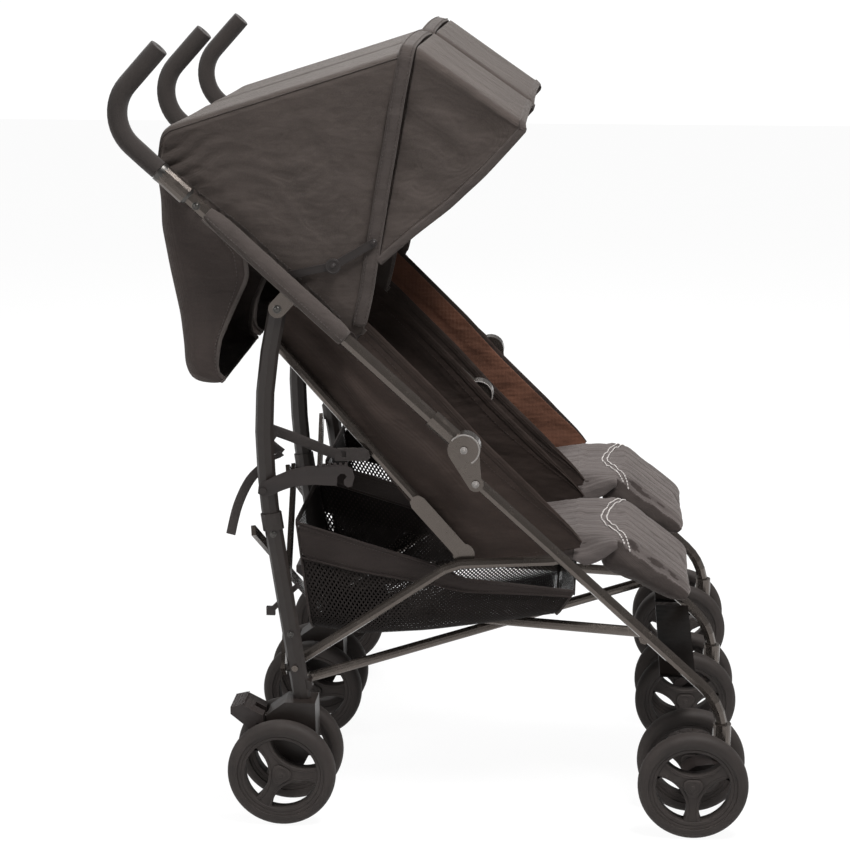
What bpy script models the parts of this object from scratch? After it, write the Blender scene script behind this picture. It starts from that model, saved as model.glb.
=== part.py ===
"""Side-by-side double stroller with an umbrella fold, in metres, +X forwards and +Z up.

Three like side frames stand at the right, in the middle and at the left. In each of them the handle
tube, the front leg, the seat rail and the rear leg form a four-bar linkage. Crossed bars join the frames.
"""
import math

import bmesh
import bpy
from mathutils import Matrix, Vector

# Clearance between pieces that touch

GAP = 0.0003

# Driving dimensions of the side frame

FRAME_SPACING = 0.325
HANDLE_ANGLE = math.radians(42.3)
KNUCKLE_X = -0.034
KNUCKLE_Z = 0.529
KNUCKLE_RADIUS = 0.022
KNUCKLE_HALF = 0.0102
TUBE_RADIUS = 0.0095
TUBE_START = 0.027
SLEEVE_RADIUS = 0.0125
SLEEVE_LENGTH = 0.060
FERRULE_START = 0.497
FERRULE_RADIUS = 0.0135
FOAM_START = 0.545
FOAM_RADIUS = 0.0135
GRIP_STRAIGHT = 0.592
GRIP_BEND = 0.057
GRIP_REACH = 0.117
FOAM_END_WALL = 0.004

# Front leg, swivel wheel and footrest

FRONT_LEG_RADIUS = 0.008
FRONT_LEG_DROP = 0.0236
FRONT_LEG_TOP = 0.034
FRONT_PIVOT_ALONG = 0.2056
FRONT_BEND_ALONG = 0.460
PLATE_THICKNESS = 0.0035
MIDDLE_KNUCKLE_HALF = 0.0097
MIDDLE_PLATE_THICKNESS = 0.0013
PLATE_RIVET_ALONG = 0.043
CASTER_X = 0.320
SOCKET_RADIUS = 0.0125
SOCKET_TOP = 0.148
SOCKET_STEP = 0.121
SOCKET_BOTTOM = 0.096
STEM_RADIUS = 0.005
FORK_HALF = 0.020
FORK_BOSS_RADIUS = 0.009
FRONT_AXLE_X = 0.281
AXLE_RADIUS = 0.004
AXLE_HALF = 0.058
FOOTREST_X = 0.233
FOOTREST_DEPTH = 0.050
FOOTREST_Z = 0.208
FOOTREST_THICKNESS = 0.004
FOOTREST_GAP = 0.002
FOOTREST_TAB_LOW = 0.425
FOOTREST_TAB_HIGH = 0.380
FOOTREST_TAB_HALF = 0.0015
FOOTREST_SLOT_START = 0.010

# Rear leg, brake and rear wheels

REAR_PIVOT_ALONG = 0.309
REAR_PIVOT_DROP = 0.029
REAR_LEG_DEPTH = 0.025
REAR_LEG_WIDTH = 0.016
REAR_LEG_TOP = 0.005
REAR_LEG_BOW_X = -0.304
REAR_LEG_BOW_Z = 0.545
REAR_LEG_FOOT_X = -0.257
REAR_LEG_FOOT_Z = 0.1635
REAR_AXLE_X = -0.281
HOUSING_HALF = 0.022
HOUSING_BOSS_RADIUS = 0.010
PEDAL_HALF = 0.026
PEDAL_X = -0.316
PEDAL_Z = 0.135
PEDAL_LUG_RADIUS = 0.007
PEDAL_LUG_HALF = 0.006
PEDAL_PIN_RADIUS = 0.003
BRACKET_RADIUS = 0.0125
BRACKET_LENGTH = 0.026
BRACKET_SHIFT = 0.004

# Wheels, in pairs

WHEEL_RADIUS = 0.075
WHEEL_TRACK = 0.090
TYRE_WIDTH = 0.027
TYRE_DEPTH = 0.015
RIM_DEPTH = 0.010
RIM_WIDTH = 0.022
HUB_RADIUS = 0.014
HUB_WIDTH = 0.026
HUB_EDGE = 0.017
WEB_THICKNESS = 0.018
SPOKE_WIDTH = 0.024
WHEEL_STEPS = 20
FRONT_WHEEL_TURN = math.pi / 2
REAR_WHEEL_TURN = math.pi / 3

# Seat rail, recline and seat

RAIL_RADIUS = 0.007
RAIL_LANE = 0.0187
RAIL_PIN_RADIUS = 0.0045
RAIL_PIVOT_X = -0.266
RAIL_PIVOT_Z = 0.213
RAIL_KNEE_X = -0.062
RAIL_KNEE_Z = 0.352
RECLINE_X = -0.036
RECLINE_Z = 0.372
RECLINE_DISC_RADIUS = 0.015
RECLINE_DISC_THICKNESS = 0.0028
RECLINE_ARM_LENGTH = 0.095
RECLINE_ARM_WIDTH = 0.022
BACK_TUBE_RADIUS = 0.0068
BACK_LENGTH = 0.395
BACK_ANGLE = math.radians(131.6)
BACK_PAD_THICKNESS = 0.022
BACK_PAD_START = 0.045
PANEL_THICKNESS = 0.0025
PANEL_LIP = 0.025
PANEL_BACK_DROP = 0.0085
PANEL_TOP_ALONG = 0.290
PANEL_TOP_DROP = 0.034
SEAT_REAR_X = -0.030
SEAT_FRONT_X = 0.140
SEAT_BOTTOM_Z = 0.340
SEAT_THICKNESS = 0.024
SEAT_RISE = math.radians(7)
CALF_PIVOT_X = 0.146
CALF_PIVOT_Z = 0.3485
CALF_ROLL_RADIUS = 0.0133
PAD_CROWN = 0.010
CALF_CROWN = 0.006
CALF_CORE_X = 0.20
CALF_CORE_Z = 0.35
LINK_FRONT_X = 0.040
LINK_OVERLAP = 0.006
LINK_THICKNESS = 0.006
PAD_LINK_REAR_X = 0.010

# Crossed bars

LOWER_BAR_HEIGHT = 0.015
LOWER_BAR_WIDTH = 0.010
LOWER_BAR_REAR_LANE = 0.031
LOWER_BAR_FRONT_LANE = 0.024
LOWER_BAR_PIN = 0.004
LOWER_BAR_SPLIT = 0.0085
LOWER_BAR_REAR_X = -0.250
LOWER_BAR_REAR_Z = 0.195
LOWER_BAR_FRONT_X = 0.212
LOWER_BAR_FRONT_Z = 0.259
LOWER_BAR_LUG_WIDTH = 0.016
LOWER_BAR_LUG_HALF = 0.004
REAR_BAR_WIDTH = 0.014
REAR_BAR_THICKNESS = 0.006
REAR_BAR_NEAR = 0.0185
REAR_BAR_FAR = 0.0268
REAR_BAR_LOW_Z = 0.213
REAR_BAR_HIGH_Z = 0.409
REAR_BAR_PIN = 0.005
REAR_BAR_PIN_START = 0.009
REAR_BAR_INNER_PIN = 0.003
COLLAR_HALF = 0.012
COLLAR_WALL = 0.0022
COLLAR_LIFT = 0.012

# Hood, hood stay, rear flap and basket

HOOD_PIVOT_ALONG = 0.212
HOOD_LANE = 0.0140
HOOD_WALL = 0.003
HOOD_DISC_RADIUS = 0.011
STAY_ALONG = 0.335
STAY_KNUCKLE_X = -0.210
STAY_KNUCKLE_Z = 0.770
STAY_HOOD_X = -0.156
STAY_HOOD_Z = 0.802
STAY_THICKNESS = 0.0018
STAY_WIDTH = 0.011
STAY_PIN_RADIUS = 0.003
FLAP_WALL = 0.003
FLAP_LANE = HOOD_LANE + HOOD_WALL + GAP
FLAP_BRIDGE_X = -0.422
FLAP_BRIDGE_HALF = 0.0025
FLAP_BRIDGE_Z = 0.640
FLAP_BRIDGE_HEIGHT = 0.040
BASKET_WALL = 0.003
BASKET_TAB_X = -0.150
BASKET_TAB_Z = 0.300
BASKET_TAB_WIDTH = 0.030
BASKET_LINK_REAR_X = -0.020
BASKET_LINK_Z = 0.2640

# Carry latch and fold lock

LATCH_X = -0.305
LATCH_Z = 0.467
LATCH_THICKNESS = 0.0035
LATCH_LANE = 0.0108
LATCH_RIVET_HEIGHT = 0.002
LATCH_RIVET_RADIUS = 0.0045
LATCH_SPACER_RADIUS = 0.007
LOCK_X = -0.280
LOCK_Z = 0.310
LOCK_LENGTH = 0.042
LOCK_WIDTH = 0.010
LOCK_THICKNESS = 0.003
TOE_REACH = 0.006

LENGTH_MIDDLE_X = -0.073961
RIGHT, MIDDLE, LEFT = -FRAME_SPACING, 0.0, FRAME_SPACING
FRAMES = {"right": (RIGHT, (1,)), "middle": (MIDDLE, (-1, 1)), "left": (LEFT, (-1,))}
BAYS = {"right": (RIGHT, 1), "left": (LEFT, -1)}

for old in list(bpy.data.objects):
    bpy.data.objects.remove(old, do_unlink=True)

stroller = bpy.data.collections.new("double_stroller")
bpy.context.scene.collection.children.link(stroller)
cutters = bpy.data.collections.new("cutters")
bpy.context.scene.collection.children.link(cutters)


def material(name, colour, roughness, metallic=0.0):
    made = bpy.data.materials.new(name)
    made.use_nodes = True
    surface = made.node_tree.nodes["Principled BSDF"]
    surface.inputs["Base Color"].default_value = (*colour, 1.0)
    surface.inputs["Roughness"].default_value = roughness
    surface.inputs["Metallic"].default_value = metallic
    return made


PAINTED = material("painted_tube", (0.030, 0.028, 0.027), 0.38, 0.6)
PLASTIC = material("black_plastic", (0.032, 0.030, 0.029), 0.45)
FOAM = material("foam", (0.022, 0.021, 0.021), 0.85)
RUBBER = material("wheel_rubber", (0.030, 0.026, 0.024), 0.75)
FABRIC = material("woven_fabric", (0.055, 0.047, 0.043), 0.85)
PAD_FABRIC = material("padded_fabric", (0.065, 0.056, 0.050), 0.85)
MESH_FABRIC = material("mesh_fabric", (0.035, 0.031, 0.029), 0.80)


# Places on the side frame, as (x, z)


def along(s, lift=0.0):
    """The point s up the handle's axis from the knuckle's pivot, lifted square to it."""
    x = KNUCKLE_X - s * math.cos(HANDLE_ANGLE) + lift * math.sin(HANDLE_ANGLE)
    z = KNUCKLE_Z + s * math.sin(HANDLE_ANGLE) + lift * math.cos(HANDLE_ANGLE)
    return x, z


def front_leg_point(s):
    return along(-s, -FRONT_LEG_DROP)


REAR_PIVOT = along(REAR_PIVOT_ALONG, -REAR_PIVOT_DROP)
FRONT_PIVOT = front_leg_point(FRONT_PIVOT_ALONG)
HOOD_PIVOT = along(HOOD_PIVOT_ALONG)
STAY_PIVOT = along(STAY_ALONG)


def rear_leg_x(z):
    """The rear leg's axis: it bows backwards below its pivot and runs straight down to the wheels."""
    straight_x = REAR_LEG_BOW_X + 0.006
    straight_z = 0.440
    if z <= straight_z:
        share = (z - REAR_LEG_FOOT_Z) / (straight_z - REAR_LEG_FOOT_Z)
        return REAR_LEG_FOOT_X + share * (straight_x - REAR_LEG_FOOT_X)
    if z <= REAR_LEG_BOW_Z:
        share = (z - straight_z) / (REAR_LEG_BOW_Z - straight_z)
        return straight_x + (REAR_LEG_BOW_X - straight_x) * math.sin(share * math.pi / 2)
    share = (z - REAR_LEG_BOW_Z) / (REAR_PIVOT[1] - REAR_LEG_BOW_Z)
    return REAR_LEG_BOW_X + (REAR_PIVOT[0] - REAR_LEG_BOW_X) * share**2


# Meshes, all built in world coordinates


def from_object(made):
    """The evaluated mesh of a temporary object, with its loose caps welded."""
    bpy.context.view_layer.update()
    evaluated = made.evaluated_get(bpy.context.evaluated_depsgraph_get())
    mesh = bpy.data.meshes.new_from_object(evaluated)
    mesh.transform(made.matrix_world)
    bpy.data.objects.remove(made, do_unlink=True)
    shape = bmesh.new()
    shape.from_mesh(mesh)
    bmesh.ops.remove_doubles(shape, verts=shape.verts, dist=0.00001)
    bmesh.ops.recalc_face_normals(shape, faces=shape.faces)
    shape.to_mesh(mesh)
    shape.free()
    return mesh


def tube(points, radius, resolution=2):
    """A round tube along world points, with closed ends."""
    curve = bpy.data.curves.new("tube", "CURVE")
    curve.dimensions = "3D"
    curve.bevel_depth = radius
    curve.bevel_resolution = resolution
    curve.use_fill_caps = True
    line = curve.splines.new("POLY")
    line.points.add(len(points) - 1)
    for point, place in zip(line.points, points):
        point.co = (*place, 1.0)
    made = bpy.data.objects.new("tube", curve)
    cutters.objects.link(made)
    return from_object(made)


def side_tube(outline, y, radius, resolution=2):
    """A tube along (x, z) points in one side plane."""
    return tube([(x, y, z) for x, z in outline], radius, resolution)


def plate(outline, y_low, y_high):
    """A flat plate with an (x, z) outline between two y planes."""
    curve = bpy.data.curves.new("plate", "CURVE")
    curve.dimensions = "2D"
    curve.fill_mode = "BOTH"
    curve.extrude = abs(y_high - y_low) / 2
    line = curve.splines.new("POLY")
    line.points.add(len(outline) - 1)
    for point, (x, z) in zip(line.points, outline):
        point.co = (x, z, 0.0, 1.0)
    line.use_cyclic_u = True
    made = bpy.data.objects.new("plate", curve)
    cutters.objects.link(made)
    middle = Matrix.Translation((0, (y_low + y_high) / 2, 0))
    made.matrix_world = middle @ Matrix.Rotation(math.pi / 2, 4, "X")
    return from_object(made)


def rod(start, end, radius, sides=12):
    """A cylinder between two points."""
    start = Vector(start)
    end = Vector(end)
    mesh = bpy.data.meshes.new("rod")
    shape = bmesh.new()
    bmesh.ops.create_cone(
        shape,
        cap_ends=True,
        segments=sides,
        radius1=radius,
        radius2=radius,
        depth=(end - start).length,
    )
    turn = (end - start).to_track_quat("Z", "Y").to_matrix().to_4x4()
    bmesh.ops.transform(shape, matrix=Matrix.Translation((start + end) / 2) @ turn, verts=shape.verts)
    shape.to_mesh(mesh)
    shape.free()
    return mesh


def cross_rod(place, y_low, y_high, radius, sides=12):
    """A cylinder across the stroller, at an (x, z) place."""
    return rod((place[0], y_low, place[1]), (place[0], y_high, place[1]), radius, sides)


def arm(start, end, width, low, high):
    """A flat arm with round ends between two (x, z) pivots and two y planes."""
    turn = math.atan2(end[1] - start[1], end[0] - start[0])
    outline = []
    for centre, first in ((start, turn + math.pi / 2), (end, turn - math.pi / 2)):
        for step in range(5):
            angle = first + step * math.pi / 4
            x = centre[0] + width / 2 * math.cos(angle)
            z = centre[1] + width / 2 * math.sin(angle)
            outline.append((x, z))
    return plate(outline, low, high)


def turned(profile, matrix, steps):
    """A closed (radius, height) profile turned about Z, then placed."""
    mesh = bpy.data.meshes.new("profile")
    corners = [(radius, 0.0, height) for radius, height in profile]
    edges = [(i, (i + 1) % len(corners)) for i in range(len(corners))]
    mesh.from_pydata(corners, edges, [])
    made = bpy.data.objects.new("turned", mesh)
    cutters.objects.link(made)
    screw = made.modifiers.new("turn", "SCREW")
    screw.steps = steps
    screw.render_steps = steps
    screw.use_merge_vertices = True
    screw.merge_threshold = 0.00001
    made.matrix_world = matrix
    return from_object(made)


def box(low, high):
    mesh = bpy.data.meshes.new("box")
    shape = bmesh.new()
    bmesh.ops.create_cube(shape, size=1.0)
    low = Vector(low)
    high = Vector(high)
    size = Matrix.Diagonal((*(high - low), 1.0))
    bmesh.ops.transform(shape, matrix=Matrix.Translation((low + high) / 2) @ size, verts=shape.verts)
    shape.to_mesh(mesh)
    shape.free()
    return mesh


def combined(first, others, operation):
    """A Boolean of one mesh with others."""
    base = bpy.data.objects.new("base", first)
    cutters.objects.link(base)
    for other in others:
        tool = bpy.data.objects.new("tool", other)
        cutters.objects.link(tool)
        cut = base.modifiers.new("boolean", "BOOLEAN")
        cut.operation = operation
        cut.object = tool
        cut.solver = "EXACT"
    bpy.context.view_layer.update()
    tools = [cut.object for cut in base.modifiers]
    mesh = from_object(base)
    for tool in tools:
        bpy.data.objects.remove(tool, do_unlink=True)
    return mesh


def union(first, *others):
    return combined(first, others, "UNION")


def cut(first, *others):
    return combined(first, others, "DIFFERENCE")


def moved(mesh, y):
    """A copy of a mesh, shifted across the stroller."""
    copy = mesh.copy()
    copy.transform(Matrix.Translation((0, y, 0)))
    return copy


def place(name, solid, surface, origin):
    """One named sub-part, with its origin on its joint's axis; the whole is centred over the world's origin."""
    mesh = solid.copy()
    mesh.name = name
    mesh.transform(Matrix.Translation(-Vector(origin)))
    mesh.shade_smooth()
    mesh.set_sharp_from_angle(angle=math.radians(35))
    mesh.materials.clear()
    mesh.materials.append(surface)
    for face in mesh.polygons:
        face.material_index = 0
    made = bpy.data.objects.new(name, mesh)
    made.location = Vector(origin) - Vector((LENGTH_MIDDLE_X, 0, 0))
    stroller.objects.link(made)
    return made


def at(point, y):
    return (point[0], y, point[1])


# Handles: tube, ferrule, knuckle shell, rear-leg bracket and foam grip


def handle_path(end):
    points = [along(TUBE_START), along(GRIP_STRAIGHT)]
    for step in range(1, 7):
        turn = step * math.pi / 12
        points.append(
            along(GRIP_STRAIGHT + GRIP_BEND * math.sin(turn), GRIP_BEND * (1 - math.cos(turn)))
        )
    points.append(along(GRIP_STRAIGHT + GRIP_BEND, end))
    return points


def foam_path():
    points = handle_path(GRIP_REACH + FOAM_END_WALL)
    points[0] = along(FOAM_START)
    return points


def knuckle_shell(half):
    disc = cross_rod((KNUCKLE_X, KNUCKLE_Z), -half, half, KNUCKLE_RADIUS, 24)
    sleeve = rod(at(along(0.010), 0), at(along(SLEEVE_LENGTH), 0), SLEEVE_RADIUS, 14)
    sleeve.transform(Matrix.Diagonal((1, (half - GAP / 3) / SLEEVE_RADIUS, 1, 1)))
    return union(disc, sleeve)


def rear_leg_bracket(sign):
    """A clamp round the handle tube with a cheek down to the rear leg's pivot, on the outer side."""
    half = BRACKET_LENGTH / 2
    clamp = rod(
        at(along(REAR_PIVOT_ALONG - half - BRACKET_SHIFT), 0),
        at(along(REAR_PIVOT_ALONG + half - BRACKET_SHIFT), 0),
        BRACKET_RADIUS,
        14,
    )
    clamp.transform(Matrix.Diagonal((1, (TUBE_RADIUS + GAP / 3) / BRACKET_RADIUS, 1, 1)))
    outline = []
    for step in range(9):
        turn = -HANDLE_ANGLE - math.pi / 2 + (step - 4) * math.pi / 8
        outline.append(
            (REAR_PIVOT[0] + 0.012 * math.cos(turn), REAR_PIVOT[1] + 0.012 * math.sin(turn))
        )
    outline.append(along(REAR_PIVOT_ALONG - 0.012, 0.002))
    outline.append(along(REAR_PIVOT_ALONG + 0.012, 0.002))
    inner = REAR_LEG_WIDTH / 2 + GAP
    low, high = sorted((sign * inner, sign * (inner + 0.004)))
    cheek = plate(outline, low, high)
    rivet = cross_rod(REAR_PIVOT, *sorted((sign * (inner + 0.003), sign * (inner + 0.005))), 0.005)
    return union(clamp, cheek, rivet)


def hood_clip():
    """The disc through the middle handle that the hoods' inner sides turn on."""
    half = HOOD_LANE - GAP
    return cross_rod(HOOD_PIVOT, -half, half, HOOD_DISC_RADIUS, 16)


def foam_grip():
    core = handle_path(GRIP_REACH + GAP)
    core[0] = along(FOAM_START - 0.01)
    return cut(side_tube(foam_path(), 0.0, FOAM_RADIUS), side_tube(core, 0.0, TUBE_RADIUS + GAP))


def handle(outer, half, *extras):
    ferrule = rod(at(along(FERRULE_START), 0), at(along(FOAM_START - GAP), 0), FERRULE_RADIUS, 14)
    bent_tube = side_tube(handle_path(GRIP_REACH), 0.0, TUBE_RADIUS)
    return union(bent_tube, ferrule, knuckle_shell(half), rear_leg_bracket(outer), *extras)


grip = foam_grip()
for side, (frame_y, inward) in FRAMES.items():
    if side == "middle":
        body = handle(-inward[0], MIDDLE_KNUCKLE_HALF, hood_clip())
    else:
        body = moved(handle(-inward[0], KNUCKLE_HALF), frame_y)
    place(f"handle_{side}", body, PAINTED, at((KNUCKLE_X, KNUCKLE_Z), frame_y))
    place(f"grip_{side}", moved(grip, frame_y), FOAM, at(along(FOAM_START), frame_y))


# Front legs with knuckle plate and wheel socket


def front_leg_path():
    start = front_leg_point(FRONT_BEND_ALONG)
    radius = (CASTER_X - start[0]) / (1 - math.sin(HANDLE_ANGLE))
    centre_x = CASTER_X - radius
    centre_z = start[1] - radius * math.cos(HANDLE_ANGLE)
    points = [front_leg_point(FRONT_LEG_TOP), start]
    steps = 5
    for step in range(1, steps + 1):
        turn = (math.pi / 2 - HANDLE_ANGLE) * (1 - step / steps)
        points.append((centre_x + radius * math.cos(turn), centre_z + radius * math.sin(turn)))
    points.append((CASTER_X, SOCKET_STEP + 0.006))
    return points


def knuckle_plate(sign, half, thickness, headed):
    """The teardrop plate that carries the front leg round the knuckle, on the outer side."""
    inner = half + GAP
    low, high = sorted((sign * inner, sign * (inner + thickness)))
    outline = []
    for step in range(13):
        turn = -HANDLE_ANGLE + math.pi / 2 + step * math.pi / 12 - 0.35
        outline.append(
            (KNUCKLE_X + KNUCKLE_RADIUS * math.cos(turn), KNUCKLE_Z + KNUCKLE_RADIUS * math.sin(turn))
        )
    rivet = front_leg_point(PLATE_RIVET_ALONG)
    for step in range(7):
        turn = -HANDLE_ANGLE - math.pi / 2 + step * math.pi / 6
        outline.append((rivet[0] + 0.011 * math.cos(turn), rivet[1] + 0.011 * math.sin(turn)))
    body = plate(outline, low, high)
    near = FRONT_LEG_RADIUS - 0.004
    spacer = cross_rod(rivet, *sorted((sign * near, sign * (inner + thickness / 2))), 0.007)
    if not headed:
        return union(body, spacer)
    heads = [
        cross_rod(spot, *sorted((sign * (inner + 0.002), sign * (inner + thickness + 0.0025))), 0.005)
        for spot in (rivet, (KNUCKLE_X, KNUCKLE_Z))
    ]
    return union(body, spacer, *heads)


def front_bar_pin(signs, lift):
    """The lug under a front leg, with the pin that the lower crossed bars end at."""
    spot = (LOWER_BAR_FRONT_X, LOWER_BAR_FRONT_Z + lift)
    down = (spot[0] - KNUCKLE_X) * math.cos(HANDLE_ANGLE) - (spot[1] - KNUCKLE_Z) * math.sin(HANDLE_ANGLE)
    lug = arm(front_leg_point(down), spot, LOWER_BAR_LUG_WIDTH, -LOWER_BAR_LUG_HALF, LOWER_BAR_LUG_HALF)
    reach = LOWER_BAR_FRONT_LANE - LOWER_BAR_WIDTH / 2 - GAP
    ends = [sign * reach for sign in signs] + [0.0]
    return union(lug, cross_rod(spot, min(ends), max(ends), LOWER_BAR_PIN))


def front_leg(inward, plate_solid, bar_lift):
    socket = rod((CASTER_X, 0, SOCKET_BOTTOM), (CASTER_X, 0, SOCKET_TOP), SOCKET_RADIUS, 16)
    bore = rod((CASTER_X, 0, SOCKET_BOTTOM - 0.01), (CASTER_X, 0, SOCKET_STEP), STEM_RADIUS + GAP, 12)
    leg = side_tube(front_leg_path(), 0.0, FRONT_LEG_RADIUS)
    return cut(union(leg, socket, plate_solid, front_bar_pin(inward, bar_lift)), bore)


for side, (frame_y, inward) in FRAMES.items():
    if side == "middle":
        plate_solid = knuckle_plate(-inward[0], MIDDLE_KNUCKLE_HALF, MIDDLE_PLATE_THICKNESS, False)
        body = front_leg(inward, plate_solid, -LOWER_BAR_SPLIT)
    else:
        plate_solid = knuckle_plate(-inward[0], KNUCKLE_HALF, PLATE_THICKNESS, True)
        body = moved(front_leg(inward, plate_solid, LOWER_BAR_SPLIT), frame_y)
    place(f"front_leg_{side}", body, PAINTED, at((KNUCKLE_X, KNUCKLE_Z), frame_y))


# Wheels: each pair is one piece with its axle, which turns in the fork or in the rear housing


def web_opening(axle_x, turn):
    """The lens between two spokes: past the rim's inside, and along the hub's hollow edge."""
    rim = WHEEL_RADIUS - TYRE_DEPTH - RIM_DEPTH
    spread = math.pi / 3 - math.asin(SPOKE_WIDTH / 2 / rim)
    chord = rim * math.sin(spread)
    sag = rim * math.cos(spread) - HUB_EDGE
    hollow = (chord**2 + sag**2) / (2 * sag)
    reach = math.asin(chord / hollow)
    points = []
    for step in range(-1, 2):
        angle = spread * step
        points.append(((rim + RIM_DEPTH) * math.cos(angle), (rim + RIM_DEPTH) * math.sin(angle)))
    for step in range(2, -3, -1):
        angle = reach * step / 2
        points.append((HUB_EDGE + hollow * (1 - math.cos(angle)), hollow * math.sin(angle)))
    outline = []
    for out, side in points:
        x = axle_x + out * math.cos(turn) - side * math.sin(turn)
        z = WHEEL_RADIUS + out * math.sin(turn) + side * math.cos(turn)
        outline.append((x, z))
    return plate(outline, -WEB_THICKNESS, WEB_THICKNESS)


def wheel(axle_x, turn):
    """One wheel, whose facets stand flat on the floor."""
    across = Matrix.Translation((axle_x, 0, WHEEL_RADIUS)) @ Matrix.Rotation(math.pi / 2, 4, "X")
    inner = WHEEL_RADIUS - TYRE_DEPTH
    tread = WHEEL_RADIUS / math.cos(math.pi / WHEEL_STEPS)
    half = TYRE_WIDTH / 2
    shoulder = WHEEL_RADIUS * 0.09
    profile = [
        (inner - RIM_DEPTH, RIM_WIDTH / 2),
        (inner, RIM_WIDTH / 2),
        (tread - shoulder, half),
        (tread, half * 0.45),
        (tread, -half * 0.45),
        (tread - shoulder, -half),
        (inner, -RIM_WIDTH / 2),
        (inner - RIM_DEPTH, -RIM_WIDTH / 2),
    ]
    tyre = turned(profile, across @ Matrix.Rotation(math.pi / WHEEL_STEPS, 4, "Z"), WHEEL_STEPS)
    centre = (axle_x, WHEEL_RADIUS)
    hub = cross_rod(centre, -HUB_WIDTH / 2, HUB_WIDTH / 2, HUB_RADIUS, 12)
    web = cross_rod(centre, -WEB_THICKNESS / 2, WEB_THICKNESS / 2, inner - 0.8 * RIM_DEPTH, WHEEL_STEPS)
    openings = [web_opening(axle_x, turn + step * 2 * math.pi / 3) for step in range(3)]
    return union(tyre, hub, cut(web, *openings))


def wheel_pair(axle_x, turn):
    one = wheel(axle_x, turn)
    axle = cross_rod((axle_x, WHEEL_RADIUS), -AXLE_HALF, AXLE_HALF, AXLE_RADIUS)
    return union(axle, moved(one, -WHEEL_TRACK / 2), moved(one, WHEEL_TRACK / 2))


front_pair = wheel_pair(FRONT_AXLE_X, FRONT_WHEEL_TURN)
rear_pair = wheel_pair(REAR_AXLE_X, REAR_WHEEL_TURN)
spacer_half = WHEEL_TRACK / 2 - HUB_WIDTH / 2 - GAP


def axle_bore(axle_x):
    return cross_rod((axle_x, WHEEL_RADIUS), -AXLE_HALF, AXLE_HALF, AXLE_RADIUS + GAP, 12)


def fork():
    """The swivel fork between the front wheels, with its stem and axle."""
    outline = [
        (CASTER_X - SOCKET_RADIUS, SOCKET_BOTTOM - GAP),
        (CASTER_X + SOCKET_RADIUS, SOCKET_BOTTOM - GAP),
        (CASTER_X + SOCKET_RADIUS, SOCKET_BOTTOM - 0.016),
        (FRONT_AXLE_X + 0.016, WHEEL_RADIUS - 0.014),
        (FRONT_AXLE_X - 0.010, WHEEL_RADIUS - 0.014),
        (FRONT_AXLE_X - 0.014, WHEEL_RADIUS + 0.004),
        (FRONT_AXLE_X + 0.004, SOCKET_BOTTOM - 0.004),
    ]
    body = plate(outline, -FORK_HALF, FORK_HALF)
    stem = rod((CASTER_X, 0, SOCKET_BOTTOM - 0.005), (CASTER_X, 0, SOCKET_STEP - 0.001), STEM_RADIUS)
    axle_place = (FRONT_AXLE_X, WHEEL_RADIUS)
    boss = cross_rod(axle_place, -spacer_half, spacer_half, FORK_BOSS_RADIUS)
    return cut(union(body, stem, boss), axle_bore(FRONT_AXLE_X))


fork_solid = fork()
for side, (frame_y, _) in FRAMES.items():
    place(f"caster_fork_{side}", moved(fork_solid, frame_y), PLASTIC, (CASTER_X, frame_y, SOCKET_BOTTOM))
    front_place = (FRONT_AXLE_X, frame_y, WHEEL_RADIUS)
    rear_place = (REAR_AXLE_X, frame_y, WHEEL_RADIUS)
    place(f"front_wheels_{side}", moved(front_pair, frame_y), RUBBER, front_place)
    place(f"rear_wheels_{side}", moved(rear_pair, frame_y), RUBBER, rear_place)


# Rear legs with brake housing, and brake pedals


def rear_leg_tube():
    heights = [REAR_PIVOT[1] + REAR_LEG_TOP, 0.655, 0.600, REAR_LEG_BOW_Z, 0.490, 0.440, REAR_LEG_FOOT_Z]
    points = [(rear_leg_x(z), z) for z in heights]
    points[0] = (REAR_PIVOT[0], heights[0])
    mesh = side_tube(points, 0.0, REAR_LEG_DEPTH / 2)
    mesh.transform(Matrix.Diagonal((1, REAR_LEG_WIDTH / REAR_LEG_DEPTH, 1, 1)))
    return mesh


def rear_housing():
    outline = [
        (REAR_LEG_FOOT_X - 0.048, 0.148),
        (REAR_LEG_FOOT_X - 0.022, REAR_LEG_FOOT_Z + 0.004),
        (REAR_LEG_FOOT_X + 0.020, REAR_LEG_FOOT_Z + 0.004),
        (REAR_LEG_FOOT_X + 0.021, 0.112),
        (REAR_AXLE_X + 0.018, WHEEL_RADIUS - 0.016),
        (REAR_AXLE_X - 0.016, WHEEL_RADIUS - 0.016),
        (REAR_LEG_FOOT_X - 0.048, 0.100),
    ]
    body = plate(outline, -HOUSING_HALF, HOUSING_HALF)
    axle_place = (REAR_AXLE_X, WHEEL_RADIUS)
    boss = cross_rod(axle_place, -spacer_half, spacer_half, HOUSING_BOSS_RADIUS)
    lug_root = (PEDAL_X + 2 * PEDAL_LUG_RADIUS, PEDAL_Z)
    lug = arm((PEDAL_X, PEDAL_Z), lug_root, 2 * PEDAL_LUG_RADIUS, -PEDAL_LUG_HALF, PEDAL_LUG_HALF)
    pin_half = PEDAL_HALF - PEDAL_PIN_RADIUS
    pin = cross_rod((PEDAL_X, PEDAL_Z), -pin_half, pin_half, PEDAL_PIN_RADIUS, 8)
    return union(body, boss, lug, pin)


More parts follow.
